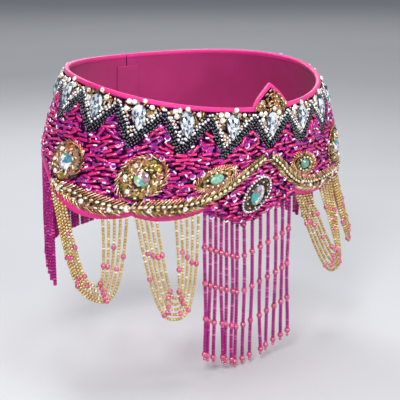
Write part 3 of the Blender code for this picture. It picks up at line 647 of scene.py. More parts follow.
# Each bugle's random tone picks a copper between a painted shadow brown and a painted highlight cream
COPPER_ROPE = bead_finish("copper_bugle", (
    (0.0, 0.22, 0.06, 0.025), (0.25, 0.54, 0.20, 0.09), (0.6, 0.86, 0.45, 0.23), (1.0, 1.0, 0.80, 0.54)),
    0.2, 0.65, 0.5)
RAINBOW_SEQUIN = bead_finish("rainbow_gold_sequin", (
    (0.0, 0.02, 0.01, 0.006), (0.16, 0.16, 0.10, 0.03), (0.34, 0.52, 0.42, 0.08), (0.50, 0.56, 0.13, 0.06),
    (0.64, 0.62, 0.30, 0.12), (0.78, 0.44, 0.22, 0.28), (0.90, 0.36, 0.36, 0.14), (1.0, 1.0, 0.88, 0.62)),
    0.14, 0.5, 0.6)
# The crystal's facets run from near-black to white by sector: painted dark and bright reflections
CRYSTAL = bead_finish("clear_foiled_crystal", (
    (0.0, 0.01, 0.015, 0.03), (0.3, 0.10, 0.14, 0.20), (0.6, 0.34, 0.41, 0.50), (0.85, 0.66, 0.72, 0.80),
    (1.0, 1.0, 1.0, 1.0)), 0.05, 0.3, 1.0)
# The top stop is white: sectors that reach it are painted highlights
RAINBOW_STONE = bead_finish("rainbow_coated_stone", (
    (0.0, 0.02, 0.06, 0.12), (0.1, 0.10, 0.30, 0.42), (0.2, 0.04, 0.46, 0.36), (0.4, 0.40, 0.70, 0.36),
    (0.6, 0.30, 0.12, 0.08), (0.72, 0.34, 0.22, 0.30), (0.84, 0.42, 0.36, 0.50), (1.0, 1.0, 1.0, 1.0)),
    0.06, 0.2, 1.0)
SEA_STONE = bead_finish("sea_green_stone", (
    (0.0, 0.06, 0.26, 0.20), (0.5, 0.20, 0.50, 0.36), (1.0, 0.40, 0.72, 0.56)), 0.10, 0.1, 0.8)
# The top stop is near-white: facets that draw it are painted glints on the dark stones
DARK_STONE = bead_finish("dark_red_stone", (
    (0.0, 0.004, 0.0, 0.002), (0.6, 0.02, 0.006, 0.006), (0.85, 0.20, 0.03, 0.02), (1.0, 0.86, 0.74, 0.62)),
    0.08, 0.3, 0.8)
STRAND_MAGENTA = bead_finish("magenta_strand_glass", (
    (0.0, 0.07, 0.0, 0.05), (0.2, 0.18, 0.0, 0.10), (0.5, 0.42, 0.0, 0.20), (0.88, 0.56, 0.002, 0.26),
    (1.0, 0.86, 0.12, 0.46)), 0.34, 0.0, 0.12, Specular_IOR_Level=0.25)
PINK_PEARL = bead_finish("pink_pearl", (
    (0.0, 0.48, 0.010, 0.11), (1.0, 0.68, 0.04, 0.18)), 0.30, 0.0, 1.0, Coat_IOR=2.1, Coat_Roughness=0.10)
PINK_SATIN = cloth_finish("hot_pink_satin", (
    (0.3, 0.72, 0.006, 0.20), (0.7, 0.82, 0.012, 0.28)), 0.36, 700.0, 0.15, Anisotropic=0.5,
    Specular_IOR_Level=0.5)
# Near-black plum: the cloth's own dark colour, and a painted shade where it shows between the bugles
GROUND_CLOTH_AND_GAP_SHADE = cloth_finish("dark_plum_ground_cloth_and_gap_shade", (
    (0.3, 0.020, 0.0, 0.016), (0.7, 0.034, 0.0, 0.026)), 0.85, 420.0, 0.0, Specular_IOR_Level=0.1)
LINING = cloth_finish("plain_pink_lining", (
    (0.3, 0.34, 0.008, 0.11), (0.7, 0.40, 0.012, 0.14)), 0.8, 420.0, 0.1)
# Dark brown: felt, and also a painted shade for the gaps between the scroll beads
SCROLL_FELT_AND_SHADE = cloth_finish("dark_brown_felt_and_gap_shade", (
    (0.3, 0.05, 0.022, 0.012), (0.7, 0.09, 0.040, 0.020)), 0.85, 300.0, 0.1)


def belt_stations(step):
    """Even distances along the belt from one end to the other, with the corners of crown and lobes added."""
    corners = [lobe["end"] for lobe in HEM_LOBES[:-1]] + [CROWN_HALF_WIDTH, LAST - PLAIN_END]
    even = np.linspace(-LAST, LAST, round(2.0 * LAST / step) + 1)
    stations = np.unique(np.concatenate([even, corners, [-corner for corner in corners], [0.0]]))
    return stations[np.concatenate([[True], np.diff(stations) > 0.0003])]


def make_cloth():
    """The cloth wall: outer and inner faces a cloth's thickness apart, in rows from the hem to the top."""
    along = belt_stations(CLOTH_STATION)
    high, low = top_edge(along) - CLOTH_INSET, hem_edge(along) + CLOTH_INSET
    heights = [low + (high - low) * share for share in np.linspace(0.0, 1.0, CLOTH_ROWS)]
    walls = [on_belt(along, height, 0.0) for height in heights]
    walls += [on_belt(along, height, -CLOTH) for height in heights[::-1]]
    which = np.tile([0] * CLOTH_ROWS + [1] * CLOTH_ROWS, (len(along) - 1, 1))
    which[np.abs(along[1:] + along[:-1]) / 2.0 > LAST - PLAIN_END, :CLOTH_ROWS] = 2
    return grid_piece("belt_cloth", np.stack(walls, axis=1), [GROUND_CLOTH_AND_GAP_SHADE, LINING, PINK_SATIN], which,
                      ["belt_band"])


def make_binding(name, edge, sign, tall, replaced):
    """A satin binding folded over an edge: a rounded section carried along it, with fine puckers that rise
    and fall along the edge."""
    along = belt_stations(BINDING_STATION)
    turn = np.linspace(0.0, 2.0 * math.pi, BINDING_SIDES, endpoint=False)
    across, up = (squared(wave(turn), BINDING_SQUARENESS) for wave in (np.cos, np.sin))
    middle, half = (BINDING_OUTER + BINDING_INNER) / 2.0, (BINDING_OUTER - BINDING_INNER) / 2.0
    fine = np.sin(along * FINE_PACE + 2.0 * np.sin(along * UNEVEN_PACE))
    pucker = (fine * np.sin(along * SLOW_PACE + 1.0))[:, None]
    lift = middle + across * half + pucker * PUCKER * np.maximum(across, 0.0)
    height = (edge(along) - sign * tall / 2.0)[:, None] + up * tall / 2.0
    points = on_belt(np.broadcast_to(along[:, None], lift.shape), height, lift)
    grid_piece(name, points, [PINK_SATIN], np.zeros(len(turn), int), [replaced])


def zigzag_line(offset):
    """The zigzag's middle moved up by an offset, cut off short of the plain ends."""
    along = np.linspace(-LAST + PLAIN_END, LAST - PLAIN_END, 3041)
    return along, zigzag_middle(along) + offset


def make_zigzag():
    """Rows of black seed beads along the zigzag, and uneven rows of silver ones along its upper side: the
    second and third ones are only round the low tips."""
    black, silver = [], []
    for row in range(BLACK_ROWS):
        offset = (row - (BLACK_ROWS - 1) / 2.0) * BLACK_ROW_STEP
        along, height, turn = laid_along(*zigzag_line(offset), BLACK_STEP)
        along, height = (places + wobble(0.00022, places) for places in (along, height))
        black.append(scatter(SEED, along, height, BLACK_LIFT + wobble(0.0002, along), turn,
                             wobble(0.3, along), BLACK_RADIUS * chance.uniform(0.90, 1.04, len(along))))
    for row in SILVER_ROWS:
        along, height, turn = laid_along(*zigzag_line(ZIGZAG_HALF_BAND + row["offset"]), SILVER_STEP)
        height = height + wobble(0.0004, along)
        phase = np.abs(along) / V_WIDTH
        keep = (height < top_edge(along) - BINDING_HEIGHT - 0.0006) & (
            np.abs(phase - np.round(phase)) * 2.0 < row["reach"])
        along, height, turn = along[keep], height[keep], turn[keep]
        silver.append(scatter(SEED, along + wobble(0.0003, along), height, row["lift"], turn,
                              wobble(0.3, along), SILVER_RADIUS * chance.uniform(0.85, 1.08, len(along))))
    add_piece("zigzag_black_beads", black, BLACK_SEED)
    add_piece("zigzag_silver_beads", silver, SILVER_SEED)


def inside_any(along, height, margin):
    """Whether places lie under a swirl, a leaf, the medallion or a ribbon, drawn in by a margin."""
    distance = np.abs(along)
    covered = np.hypot(along / (MEDALLION["half_width"] - margin),
                       (height - MEDALLION["height"]) / (MEDALLION["half_height"] - margin)) < 1.0
    for swirl in SWIRLS:
        covered |= np.hypot(distance - swirl["along"], height - swirl["height"]) < swirl["radius"] - margin
    x, y = distance - LEAF["along"], height - LEAF["height"]
    ct, st = math.cos(LEAF["tilt"]), math.sin(LEAF["tilt"])
    covered |= np.hypot((x * ct - y * st) / (LEAF["half_length"] - 2 * margin),
                        (x * st + y * ct) / (LEAF["half_width"] - margin)) < 1.0
    for rows in (ARM, TAIL):
        level, width = ribbon_at(rows, np.clip(distance, rows["along"][0], rows["along"][-1]))
        ends = (distance > rows["along"][0]) & (distance < rows["along"][-1])
        covered |= ends & (np.abs(height - level) < width / 2.0 - margin)
    return covered


def jittered(column, row, spread, brick=0.5):
    """Places over the whole belt in rows and columns, every other row a share of a column on, each moved a
    little."""
    along, height = np.meshgrid(np.arange(-LAST, LAST, column), np.arange(FIELD_LOW, FIELD_HIGH, row))
    along = along + (np.arange(along.shape[0]) % 2)[:, None] * column * brick
    along = along + chance.uniform(-spread, spread, along.shape) * column
    height = height + chance.uniform(-spread, spread, height.shape) * row
    return along.ravel(), height.ravel()


def in_field(along, height, margin=0.0020, low_gap=0.0):
    """Whether places lie on the magenta field: between the zigzag and the hem, or out to the edge on the tab,
    and clear of the scroll work but for a margin."""
    on_tab = np.abs(along) < TAB_HALF_WIDTH - 0.001
    low = hem_edge(along) + np.where(on_tab, 0.0006, HEM_BINDING_HEIGHT + low_gap)
    high = zigzag_middle(along) - ZIGZAG_HALF_BAND + 0.0009
    return ((height > low) & (height < high) & (np.abs(along) < LAST - PLAIN_END)
            & ~inside_any(along, height, margin))


def bugle_turn(along, height, spread):
    """How bugles lie: level and drifting a little low on the belt, and along the zigzag's legs in its
    peaks."""
    from_peak = np.mod(along / V_WIDTH, 1.0) - 0.5
    steep = PEAK_SLOPE * np.clip(from_peak * PEAK_FADE, -1.0, 1.0)
    in_peak = np.clip((height - top_line(along) + TIP_DEPTH + PEAK_START) / PEAK_REACH, 0.0, 1.0)
    drift = DRIFT * np.sin(along * DRIFT_ALONG + 2.0) * np.cos(height * DRIFT_UP)
    loose = spread * (1.0 + PEAK_LOOSENESS * in_peak)
    return in_peak * steep + (1.0 - in_peak) * drift + wobble(1.0, along) * loose


def on_field(column, row, spread, brick=0.5):
    """Jittered places that lie on the magenta field, and how far the tab's open edge lifts them."""
    along, height = jittered(column, row, spread, brick)
    keep = in_field(along, height)
    along, height = along[keep], height[keep]
    on_edge = (np.abs(along) < TAB_HALF_WIDTH) & (height < hem_edge(along) + OPEN_EDGE_REACH)
    return along, height, OPEN_EDGE_LIFT * on_edge


def whole_bugles(places, spread, sizes, others=None):
    """Bugles at places on the field whose two ends lie on it too, and that keep clear of others: their along,
    height, edge lift, turn and size."""
    along, height, edge = places
    turn = bugle_turn(along, height, spread)
    size = chance.uniform(*sizes, len(along))
    reach_along, reach_up = (wave(turn) * size * BUGLE_HALF_LENGTH for wave in (np.cos, np.sin))
    clear = (in_field(along + reach_along, height + reach_up, BUGLE_END_MARGIN, BUGLE_END_GAP)
             & in_field(along - reach_along, height - reach_up, BUGLE_END_MARGIN, BUGLE_END_GAP))
    if others is not None:
        near = (np.abs(along[:, None] - others[0]) < BUGLE_HALF_LENGTH * 0.8) & (
            np.abs(height[:, None] - others[1]) < BUGLE_ROW * 0.7)
        clear &= ~near.any(1)
    return np.stack([along, height, edge, turn, size])[:, clear]


def make_field():
    """The magenta field: a loose under layer of thin purple bugles, and long bright ones over it in wide rows
    with short ones between, kept clear of the other forms at both ends. Cup sequins, cups with a painted
    white highlight on half their rim, and short pale bugles, also painted glints, are strewn over them."""
    along, height, edge = on_field(BUGLE_COLUMN * 0.60, BUGLE_ROW * 0.80, 0.45)
    thin = lying(STICK, BUGLE_HALF_LENGTH * 0.66, BUGLE_RADIUS * 0.85)
    under = scatter(thin, along, height, UNDER_LIFT + edge, bugle_turn(along, height, 0.30),
                    wobble(0.05, along))
    add_piece("magenta_under_bugles", [under], MAGENTA_UNDER)
    long = whole_bugles(on_field(BUGLE_COLUMN, BUGLE_ROW, 0.20, 0.30), 0.22, (0.80, 1.08))
    short = whole_bugles(on_field(BUGLE_COLUMN * 0.62, BUGLE_ROW * 1.04, 0.28, 0.4), 0.30, (0.36, 0.60), long)
    along, height, edge, turn, size = np.concatenate([long, short], axis=1)
    lift = BUGLE_LIFT + chance.uniform(0.0, 0.0008, len(along)) + edge
    laid = np.stack([along, height, lift, turn, wobble(0.07, along), size])
    share = np.repeat([1.0, SHORT_SHARE], [long.shape[1], short.shape[1]])
    front = on_belt(along, height)[:, 1] < 0.0
    for name, part in (("front", front), ("back", ~front)):
        batches = [scatter(lying(ROD, BUGLE_HALF_LENGTH, BUGLE_RADIUS / kind),
                           *laid[:, part & (share == kind)]) for kind in (1.0, SHORT_SHARE)]
        add_piece(f"magenta_bugles_{name}", batches, MAGENTA_BUGLE)
    along, height, edge = on_field(CUP_COLUMN, CUP_ROW, 0.50)
    cups = scatter(CUP, along, height, CUP_LIFT + edge, any_turn(along), wobble(0.30, along), CUP_RADIUS,
                   facets=0.5)
    # Cups with a painted U-shaped highlight: half their inner slope takes near-white tones
    along, height, edge = on_field(PAINTED_GLINT_COLUMN, PAINTED_GLINT_ROW, 0.50)
    tones = np.where(PAINTED_GLINT_CUP["ring"] == 1, sector_tones(PAINTED_GLINT_CUP, PAINTED_GLINT_SECTORS), 0.3)
    painted_glint_cups = scatter(PAINTED_GLINT_CUP, along, height, PAINTED_GLINT_LIFT + edge, wobble(0.6, along), wobble(0.12, along),
                  PAINTED_GLINT_RADIUS, tones=tones)
    add_piece("magenta_sequins", [cups, painted_glint_cups], MAGENTA_SEQUIN)
    # Pale bugles strewn over the field, also as painted glints
    along, height, edge = on_field(PALE_COLUMN, PALE_ROW, 0.50)
    pale = scatter(lying(ROD, PALE_HALF_LENGTH, PALE_RADIUS), along, height, PALE_LIFT + edge,
                   wobble(0.8, along), wobble(0.12, along))
    add_piece("pale_glint_bugles", [pale], PALE_GLINT_BUGLE)


def make_v_fill():
    """Gold and coral sequins, short bugles and beads in the Vs and the crown, with white stones above."""
    sites = [(V_MIDDLES + stone["aside"], stone["depth"]) for stone in WHITE_STONES]
    stone_along = np.concatenate([along for along, _ in sites])
    stone_height = np.concatenate([top_line(along) - depth for along, depth in sites])
    stone_along = stone_along + wobble(0.0009, stone_along)
    stone_height = stone_height + wobble(0.0005, stone_along)
    shown = chance.random(len(stone_along)) < WHITE_SHARE
    stone_along, stone_height = stone_along[shown], stone_height[shown]
    lift = np.where(top_line(stone_along) - stone_height < 0.005, 0.0024, 0.0020)
    stones = scatter(CHATON, stone_along, stone_height, lift, any_turn(stone_along), 0.0,
                     chance.uniform(*WHITE_RADII, len(stone_along)), facets=0.8)
    add_piece("white_round_stones", [stones], WHITE_STONE)

    def in_v(along, height):
        nearest = V_MIDDLES[np.argmin(np.abs(along[:, None] - V_MIDDLES[None]), axis=1)]
        drop = np.hypot((along - nearest) / (TEARDROP_HALF_WIDTH * 1.02),
                        (height - top_line(nearest) + TEARDROP_DEPTH) / (TEARDROP_HALF_LENGTH * 0.96)) < 1.0
        gap = np.hypot(along[:, None] - stone_along, height[:, None] - stone_height)
        return ((height > zigzag_middle(along) + ZIGZAG_HALF_BAND + 0.0046)
                & (height < top_edge(along) - BINDING_HEIGHT - 0.0004) & ~drop
                & ~(gap < WHITE_CLEARANCE).any(1) & (np.abs(along) < LAST - PLAIN_END))

    along, height = jittered(V_FILL_COLUMN, V_FILL_ROW, V_FILL_SPREAD)
    keep = in_v(along, height)
    along, height = along[keep], height[keep]
    kind = chance.random(len(along))
    batches = []
    for shape, low, high, lift, size in ((CUP, 0.0, 0.40, 0.0016, 0.0023), (SEED, 0.40, 0.62, 0.0018, 0.0013),
                                         (lying(ROD, 1.0, 0.40), 0.62, 1.01, 0.0022, 0.0021)):
        part = (kind >= low) & (kind < high)
        batches.append(scatter(shape, along[part], height[part], lift, any_turn(along[part]),
                               wobble(0.22, along[part]), size, facets=0.3))
    add_piece("v_fill_sequins_and_beads", batches, V_FILL)


def sector_tones(shape, tones, phases=(0,)):
    """A tone for each facet of each stone: sectors round its middle take the tones in turn, from a phase of
    the stone's own and one on for each ring, and the facets under and round the rim have one dark tone."""
    middle = shape["vertices"][shape["triangles"]].mean(axis=1)
    share = np.mod(np.arctan2(middle[:, 1], middle[:, 0]) / (2.0 * math.pi), 1.0)
    sector = np.floor(share * len(tones)).astype(int) + shape["ring"]
    # The sector tones paint the facets' light and dark reflections
    picked = np.array(tones)[(sector[None] + np.array(phases)[:, None]) % len(tones)]
    return np.where(shape["ring"][None] < 1, RIM_TONE, picked)


def make_teardrops():
    """One cut crystal in each V: a drop outline with a girdle, leaning facets and a smaller table."""
    rings = ((1.10, 0.0, 0), (1.0, 0.0016, 0), (0.72, 0.0034, 1), (0.40, 0.0042, 0))
    shape = gem(teardrop, rings, 16, (0.0, 0.0038), smooth=False)
    # Painted reflections: each facet's tone sets how bright or dark it is
    tones = sector_tones(shape, CRYSTAL_PAINTED_FACET_LIGHT, chance.integers(0, len(CRYSTAL_PAINTED_FACET_LIGHT), V_COUNT))
    stones = scatter(shape, V_MIDDLES, top_line(V_MIDDLES) - TEARDROP_DEPTH, 0.0017, tones=tones)
    replaced = [f"teardrop_{number + 1:02d}" for number in range(V_COUNT)]
    add_piece("teardrop_crystals", [stones], CRYSTAL, replaced)


def rope(line, slant, spacing, half_length=0.0045, radius=0.00070):
    """A rope of thin bugles along a line, each slanted across it and leaning on the one before."""
    along, height, turn = laid_along(*line, spacing)
    lift = ROPE_LIFT + wobble(0.0001, along)
    return scatter(lying(STICK, half_length, radius), along, height, lift, turn + slant + wobble(0.05, along),
                   ROPE_LEAN + wobble(0.04, along))


def ribbon_line(rows, side, across, first=0.0, last=1.0):
    """A line along a ribbon between two distances, at a share of its half width across it."""
    along = np.linspace(max(first, rows["along"][0]), min(last, rows["along"][-1]), 120)
    height, width = ribbon_at(rows, along)
    run, climb = np.gradient(along), np.gradient(height)
    length = np.hypot(run, climb)
    return (side * (along - climb / length * width / 2.0 * across),
            height + run / length * width / 2.0 * across)


def ring_line(place, level, half_width, half_height, first=0.0, last=360.0, tilt=0.0, side=-1):
    """A line round an oval on the belt, from one angle to another in degrees; on the other side it is
    mirrored."""
    turn = np.radians(np.linspace(first, last, RING_POINTS))
    x, y = -side * half_width * np.cos(turn), half_height * np.sin(turn)
    return place + x * math.cos(tilt) - y * math.sin(tilt), level + x * math.sin(tilt) + y * math.cos(tilt)


def make_backings():
    """Felt under the scroll work: low domed patches and ribbons, a little inside the bead edges."""
    # The felt's dark brown also paints the shade in the gaps between the beads laid on it
    batches = []
    for side in (-1, 1):
        for rows in (ARM, TAIL):
            low, middle, high = (ribbon_line(rows, side, across) for across in (-0.96, 0.0, 0.96))
            section = ((low, 0.0004), (high, 0.0004), (high, 0.0020), (middle, 0.0026), (low, 0.0020))
            walls = [on_belt(*line, lift) for line, lift in section]
            batches.append(wall_batch(np.stack(walls[::side], axis=1)))
        for swirl in SWIRLS:
            radius = swirl["radius"] * 0.98
            batches.append(dome(side * swirl["along"], swirl["height"], radius, radius, 0.0, 0.0028))
        batches.append(dome(side * LEAF["along"], LEAF["height"], LEAF["half_length"] * 0.90,
                            LEAF["half_width"] * 0.9, -side * LEAF["tilt"], 0.0026))
    batches.append(dome(0.0, MEDALLION["height"], MEDALLION["half_width"] * 0.96,
                        MEDALLION["half_height"] * 0.96, 0.0, 0.0030))
    return batches


def wall_batch(points):
    """A closed wall of stations by corners as a batch of triangles, with a fan at each end."""
    stations, around = points.shape[:2]
    index = np.arange(stations * around).reshape(stations, around)
    following = np.roll(index, -1, axis=1)
    a, b, c, d = index[:-1], following[:-1], following[1:], index[1:]
    one, two, end = np.arange(1, around - 1), np.arange(2, around), index[-1, 0]
    triangles = triangles_of((a, c, b), (a, d, c), (0, one, two), (end + two, end + one, end))
    return batch_of(points, triangles, chance.random(len(triangles)))


def dome(place, level, half_width, half_height, tilt, rise):
    """A low round patch on the belt: rings of an oval that rise towards its middle."""
    shares, lifts = (0.5, 1.0, 1.0, 0.85, 0.4), (0.0004, 0.0004, rise * 0.7, rise, rise * 1.08)
    last_angle = 360.0 * (RING_POINTS - 1) / RING_POINTS
    rings = []
    for share, lift in zip(shares, lifts):
        line = ring_line(place, level, half_width * share, half_height * share, 0.0, last_angle, tilt)
        rings.append(on_belt(*[values[::DOME_STEP] for values in line], lift))
    index = np.arange(sum(map(len, rings))).reshape(len(rings), -1)
    a, b, c, d = index[:-1], np.roll(index[:-1], -1, 1), np.roll(index[1:], -1, 1), index[1:]
    triangles = triangles_of((a, b, c), (a, c, d), (index.size, np.roll(index[0], -1), index[0]),
                             (index.size + 1, index[-1], np.roll(index[-1], -1)))
    poles = [on_belt(np.array([place]), np.array([level]), lift) for lift in (lifts[0], lifts[-1])]
    return batch_of(np.concatenate([*rings, *poles]), triangles, chance.random(len(triangles)))


def strewn(shape, line, spacing, lift, size, facets=0.3, turn_off=0.0, tilt=0.2):
    """Copies of a shape along a line, each tilted a little."""
    along, height, turn = laid_along(*line, spacing)
    return scatter(shape, along, height, lift, turn + turn_off, wobble(tilt, along), size, facets)


def bead_ribbon(rows, side, parts):
    """One ribbon: a rope along each edge, a chain of pale ovals with dark beads between them, sequins, and a
    white stone now and then. An arm's narrow first stretch has fine slanted bugles on both sides of its
    chain."""
    narrow = NARROW_ARM_END if rows is ARM else 0.0

    def line(across, first=narrow, last=1.0):
        return ribbon_line(rows, side, across, first, last)

    parts["ropes"] += [rope(line(0.86), -side * 0.66, 0.0032), rope(line(-0.84), side * 0.52, 0.0038)]
    chain = line(0.30)
    if narrow:
        parts["fine"] += [rope(line(across, 0.0, narrow), side * slant, 0.0024, 0.0030, 0.00066)
                          for across, slant in ((0.62, -0.62), (-0.62, 0.62))]
        chain = [np.concatenate(both) for both in zip(line(0.0, 0.0, narrow + 0.003), chain)]
    parts["beads"].append(strewn(lying(SEED, 0.0023, 0.00145), chain, CHAIN_STEP, 0.0046, 1.0,
                                 turn_off=-side * 0.3, tilt=0.08))
    along, height, turn = laid_along(*chain, CHAIN_STEP)
    between = [(places[1:] + places[:-1]) / 2.0 for places in (along, height)]
    parts["darks"].append(scatter(SEED, *between, 0.0040, turn[1:], size=0.0013))
    parts["sequins"] += [strewn(CUP, line(across, narrow + 0.002), spacing, 0.0032, 0.0025, tilt=0.32)
                         for across, spacing in ((-0.06, 0.0044), (-0.42, 0.0042))]
    parts["whites"].append(strewn(CHATON, line(-0.25, narrow + 0.006), 0.0290, 0.0040, 0.0026, facets=0.9))
    along, height, turn = laid_along(*line(-0.30, narrow + 0.004), 0.0068)
    height = height + wobble(0.0009, along)
    parts["beads"].append(scatter(lying(STICK, 0.0016, 0.0008), along, height, 0.0048,
                                  turn + wobble(0.8, along)))
    parts["darks"].append(strewn(CHATON, line(-0.15, narrow + 0.004), 0.0062, 0.0042, 0.0017, facets=0.6))


SWIRL_LAYERS = named_rows("kind shape ring spacing lift size turn tilt",
                          ("sequins", CUP, 0.70, 0.0062, 0.0036, 0.0036, 0.0, 0.22),
                          ("sequins", CUP, 0.48, 0.0054, 0.0042, 0.0028, 0.0, 0.30),
                          ("beads", lying(STICK, 0.0020, 0.00080), 0.62, 0.0094, 0.0056, 1.0, 0.9, 0.1),
                          ("beads", lying(STICK, 0.0018, 0.00078), 0.47, 0.0058, 0.0054, 1.0, 0.5, 0.2),
                          ("darks", SEED, 0.84, 0.0062, 0.0046, 0.0013, 0.0, 0.2),
                          ("darks", SEED, 0.50, 0.0050, 0.0048, 0.0012, 0.0, 0.2))


def bead_swirl(swirl, side, parts):
    """One swirl: a rope that opens into the ribbon below, a ring of large overlapping sequins with white
    stones and pale bugles strewn on it, and a large stone."""
    place, level, radius = side * swirl["along"], swirl["height"], swirl["radius"]

    def ring(share, first=0.0, last=360.0):
        return ring_line(place, level, radius * share, radius * share, first, last, side=side)

    parts["ropes"].append(rope(ring(0.95, swirl["first"], swirl["last"]), side * 0.44, 0.0038))
    for layer in SWIRL_LAYERS:
        parts[layer["kind"]].append(strewn(layer["shape"], ring(layer["ring"]), layer["spacing"],
                                           layer["lift"], layer["size"], turn_off=layer["turn"],
                                           tilt=layer["tilt"]))
    parts["whites"].append(strewn(CHATON, ring(0.68, 100.0, 260.0), 0.0130, 0.0054, 0.0022, facets=0.9))
    rings = ((1.0, 0.0, 0), (1.0, 0.14, 0), (0.66, 0.42, 1), (0.30, 0.54, 0))
    shape = gem(circle, rings, 9, (0.0, 0.54), smooth=False)
    parts["stones"].append(scatter(shape, place, level, 0.0040, size=radius * swirl["stone"],
                                   tones=sector_tones(shape, SWIRL_SECTORS[swirl["sectors"][side > 0]])))


def bead_leaf(side, parts):
    """One leaf: fine bugles that stand out round its edge like a feather, copper sequins, small pale beads
    and a green oval stone."""
    place, level, tilt = side * LEAF["along"], LEAF["height"], -side * LEAF["tilt"]

    def ring(share):
        return ring_line(place, level, LEAF["half_length"] * share, LEAF["half_width"] * share, tilt=tilt)

    parts["ropes"].append(strewn(lying(STICK, 0.0034, 0.00066), ring(0.90), 0.0026, 0.0036, 1.0,
                                 turn_off=-math.pi / 2.0 + side * 0.75, tilt=0.06))
    parts["fine"].append(rope(ring(0.76), -side * 0.4, 0.0026, 0.0026, 0.00064))
    parts["sequins"].append(strewn(CUP, ring(0.56), 0.0042, 0.0042, 0.0023, tilt=0.3))
    for kind, half_length, half_width, spacing, lift, size in (
            ("beads", 0.0090, 0.0062, 0.0052, 0.0052, 0.0013),
            ("darks", 0.0096, 0.0068, 0.0050, 0.0048, 0.0012)):
        oval_line = ring_line(place, level, half_length, half_width, tilt=tilt)
        parts[kind].append(strewn(SEED, oval_line, spacing, lift, size))
    rings = ((1.0, 0.0, 0), (1.0, 0.0008, 0), (0.66, 0.0024, 1), (0.3, 0.0030, 0))
    shape = gem(oval(0.0068, 0.0046), rings, 12, (0.0, 0.0030), smooth=False)
    # The left leaf's stone takes the darker tones: painted shade
    parts["sea"].append(scatter(shape, place, level, 0.0042, tilt,
                                tones=sector_tones(shape, LEAF_SECTORS_LEFT_SHADED[side > 0])))


def make_scrolls():
    """The scroll work: bugle ropes round every form, with chains of beads, sequins and stones inside."""
    parts = {kind: [] for kind in ("ropes", "fine", "beads", "sequins", "whites", "darks", "stones", "sea")}
    for side in (-1, 1):
        for rows in (ARM, TAIL):
            bead_ribbon(rows, side, parts)
        for swirl in SWIRLS:
            bead_swirl(swirl, side, parts)
        bead_leaf(side, parts)
        parts["whites"].append(scatter(CHATON, side * JOINT["along"], JOINT["height"], 0.0024, 0.3, 0.0,
                                       JOINT["radius"], 0.9))
    arms, swirls = ([f"{form}_{side}" for form in forms for side in ("left", "right")] for forms in (
        ("scroll_arm", "scroll_tail"), ("swirl_front", "swirl_side")))
    add_piece("scroll_felt_backings", make_backings(), SCROLL_FELT_AND_SHADE)
    for name, kind, finish, slot, replaced in (
            ("scroll_copper_ropes", "ropes", COPPER_ROPE, "gold_beads", arms),
            ("scroll_fine_bugles", "fine", FINE_GOLD, "gold_beads", ["leaf_left", "leaf_right"]),
            ("scroll_gold_beads", "beads", PALE_GOLD, "gold_beads", ()),
            ("scroll_sequins", "sequins", RAINBOW_SEQUIN, "gold_beads", swirls),
            ("scroll_white_stones", "whites", WHITE_STONE, "crystal", ()),
            ("scroll_dark_beads", "darks", DARK_STONE, "stone", ()),
            ("swirl_stones", "stones", RAINBOW_STONE, "stone", ()),
            ("leaf_stones", "sea", SEA_STONE, "stone", ())):
        add_piece(name, parts[kind], finish, replaced)


def make_medallion():
    """The tab's oval medallion: a ring of silver beads, rings of dark stones and gold beads, and a stone."""
    level, width, height = MEDALLION["height"], MEDALLION["half_width"], MEDALLION["half_height"]

    def ring(across, up):
        return ring_line(0.0, level, width * across, height * up)

    silver = strewn(SEED, ring(1.0, 1.0), 0.0031, 0.0036, 0.00150)
    dark = strewn(CHATON, ring(0.79, 0.83), 0.0033, 0.0036, 0.0019, facets=0.8)
    gold = strewn(SEED, ring(0.72, 0.74), 0.0066, 0.0050, 0.0010)
    rings = ((1.0, 0.0, 0), (1.0, 0.0010, 0), (0.68, 0.0028, 1), (0.32, 0.0036, 0))
    shape = gem(oval(width * 0.62, height * 0.64), rings, 12, (0.0, 0.0036), smooth=False)
    stone = scatter(shape, 0.0, level, 0.0038, tones=sector_tones(shape, MEDALLION_SECTORS))
    add_piece("medallion_silver_beads", [silver], SILVER_SEED, ["medallion"])
    add_piece("medallion_dark_stones", [dark], DARK_STONE)
    add_piece("medallion_gold_beads", [gold], PALE_GOLD)
    add_piece("medallion_stone", [stone], RAINBOW_STONE)


def strand_root(along, lift):
    """Where strands are sewn on: a little above the hem, at a lift."""
    return on_belt(along, hem_edge(along) + ROOT_RISE, lift)


def hanging(along, length):
    """Straight strands that hang from their roots, each with a slow small sway that grows towards its end."""
    share = np.linspace(0.0, 1.0, STRAND_POINTS)
    root, directions = belt_frame(along, hem_edge(along) + ROOT_RISE, ROOT_LIFT)
    phase, pace = chance.uniform(0, 6.28, (2, len(along), 1)), chance.uniform(4.0, 7.0, (len(along), 1))
    sway = SWAY * share * np.sin(pace * share + phase[0]) + wobble(SWAY_SPREAD, along)[:, None] * share
    out = SWAY_OUT * share * np.sin(pace * share + phase[1])
    aside, outward = directions[:, None, :, 0], directions[:, None, :, 2]
    path = root[:, None] + aside * sway[..., None] + outward * out[..., None]
    path[..., 2] = root[:, None, 2] - length * share
    return path


def pearls_at(places, radius):
    """Pearls at points, in the row frame's own directions."""
    none = np.zeros(len(places))
    return carried(PEARL, places, np.broadcast_to(np.eye(3), (len(places), 3, 3)), none, none, none + radius)


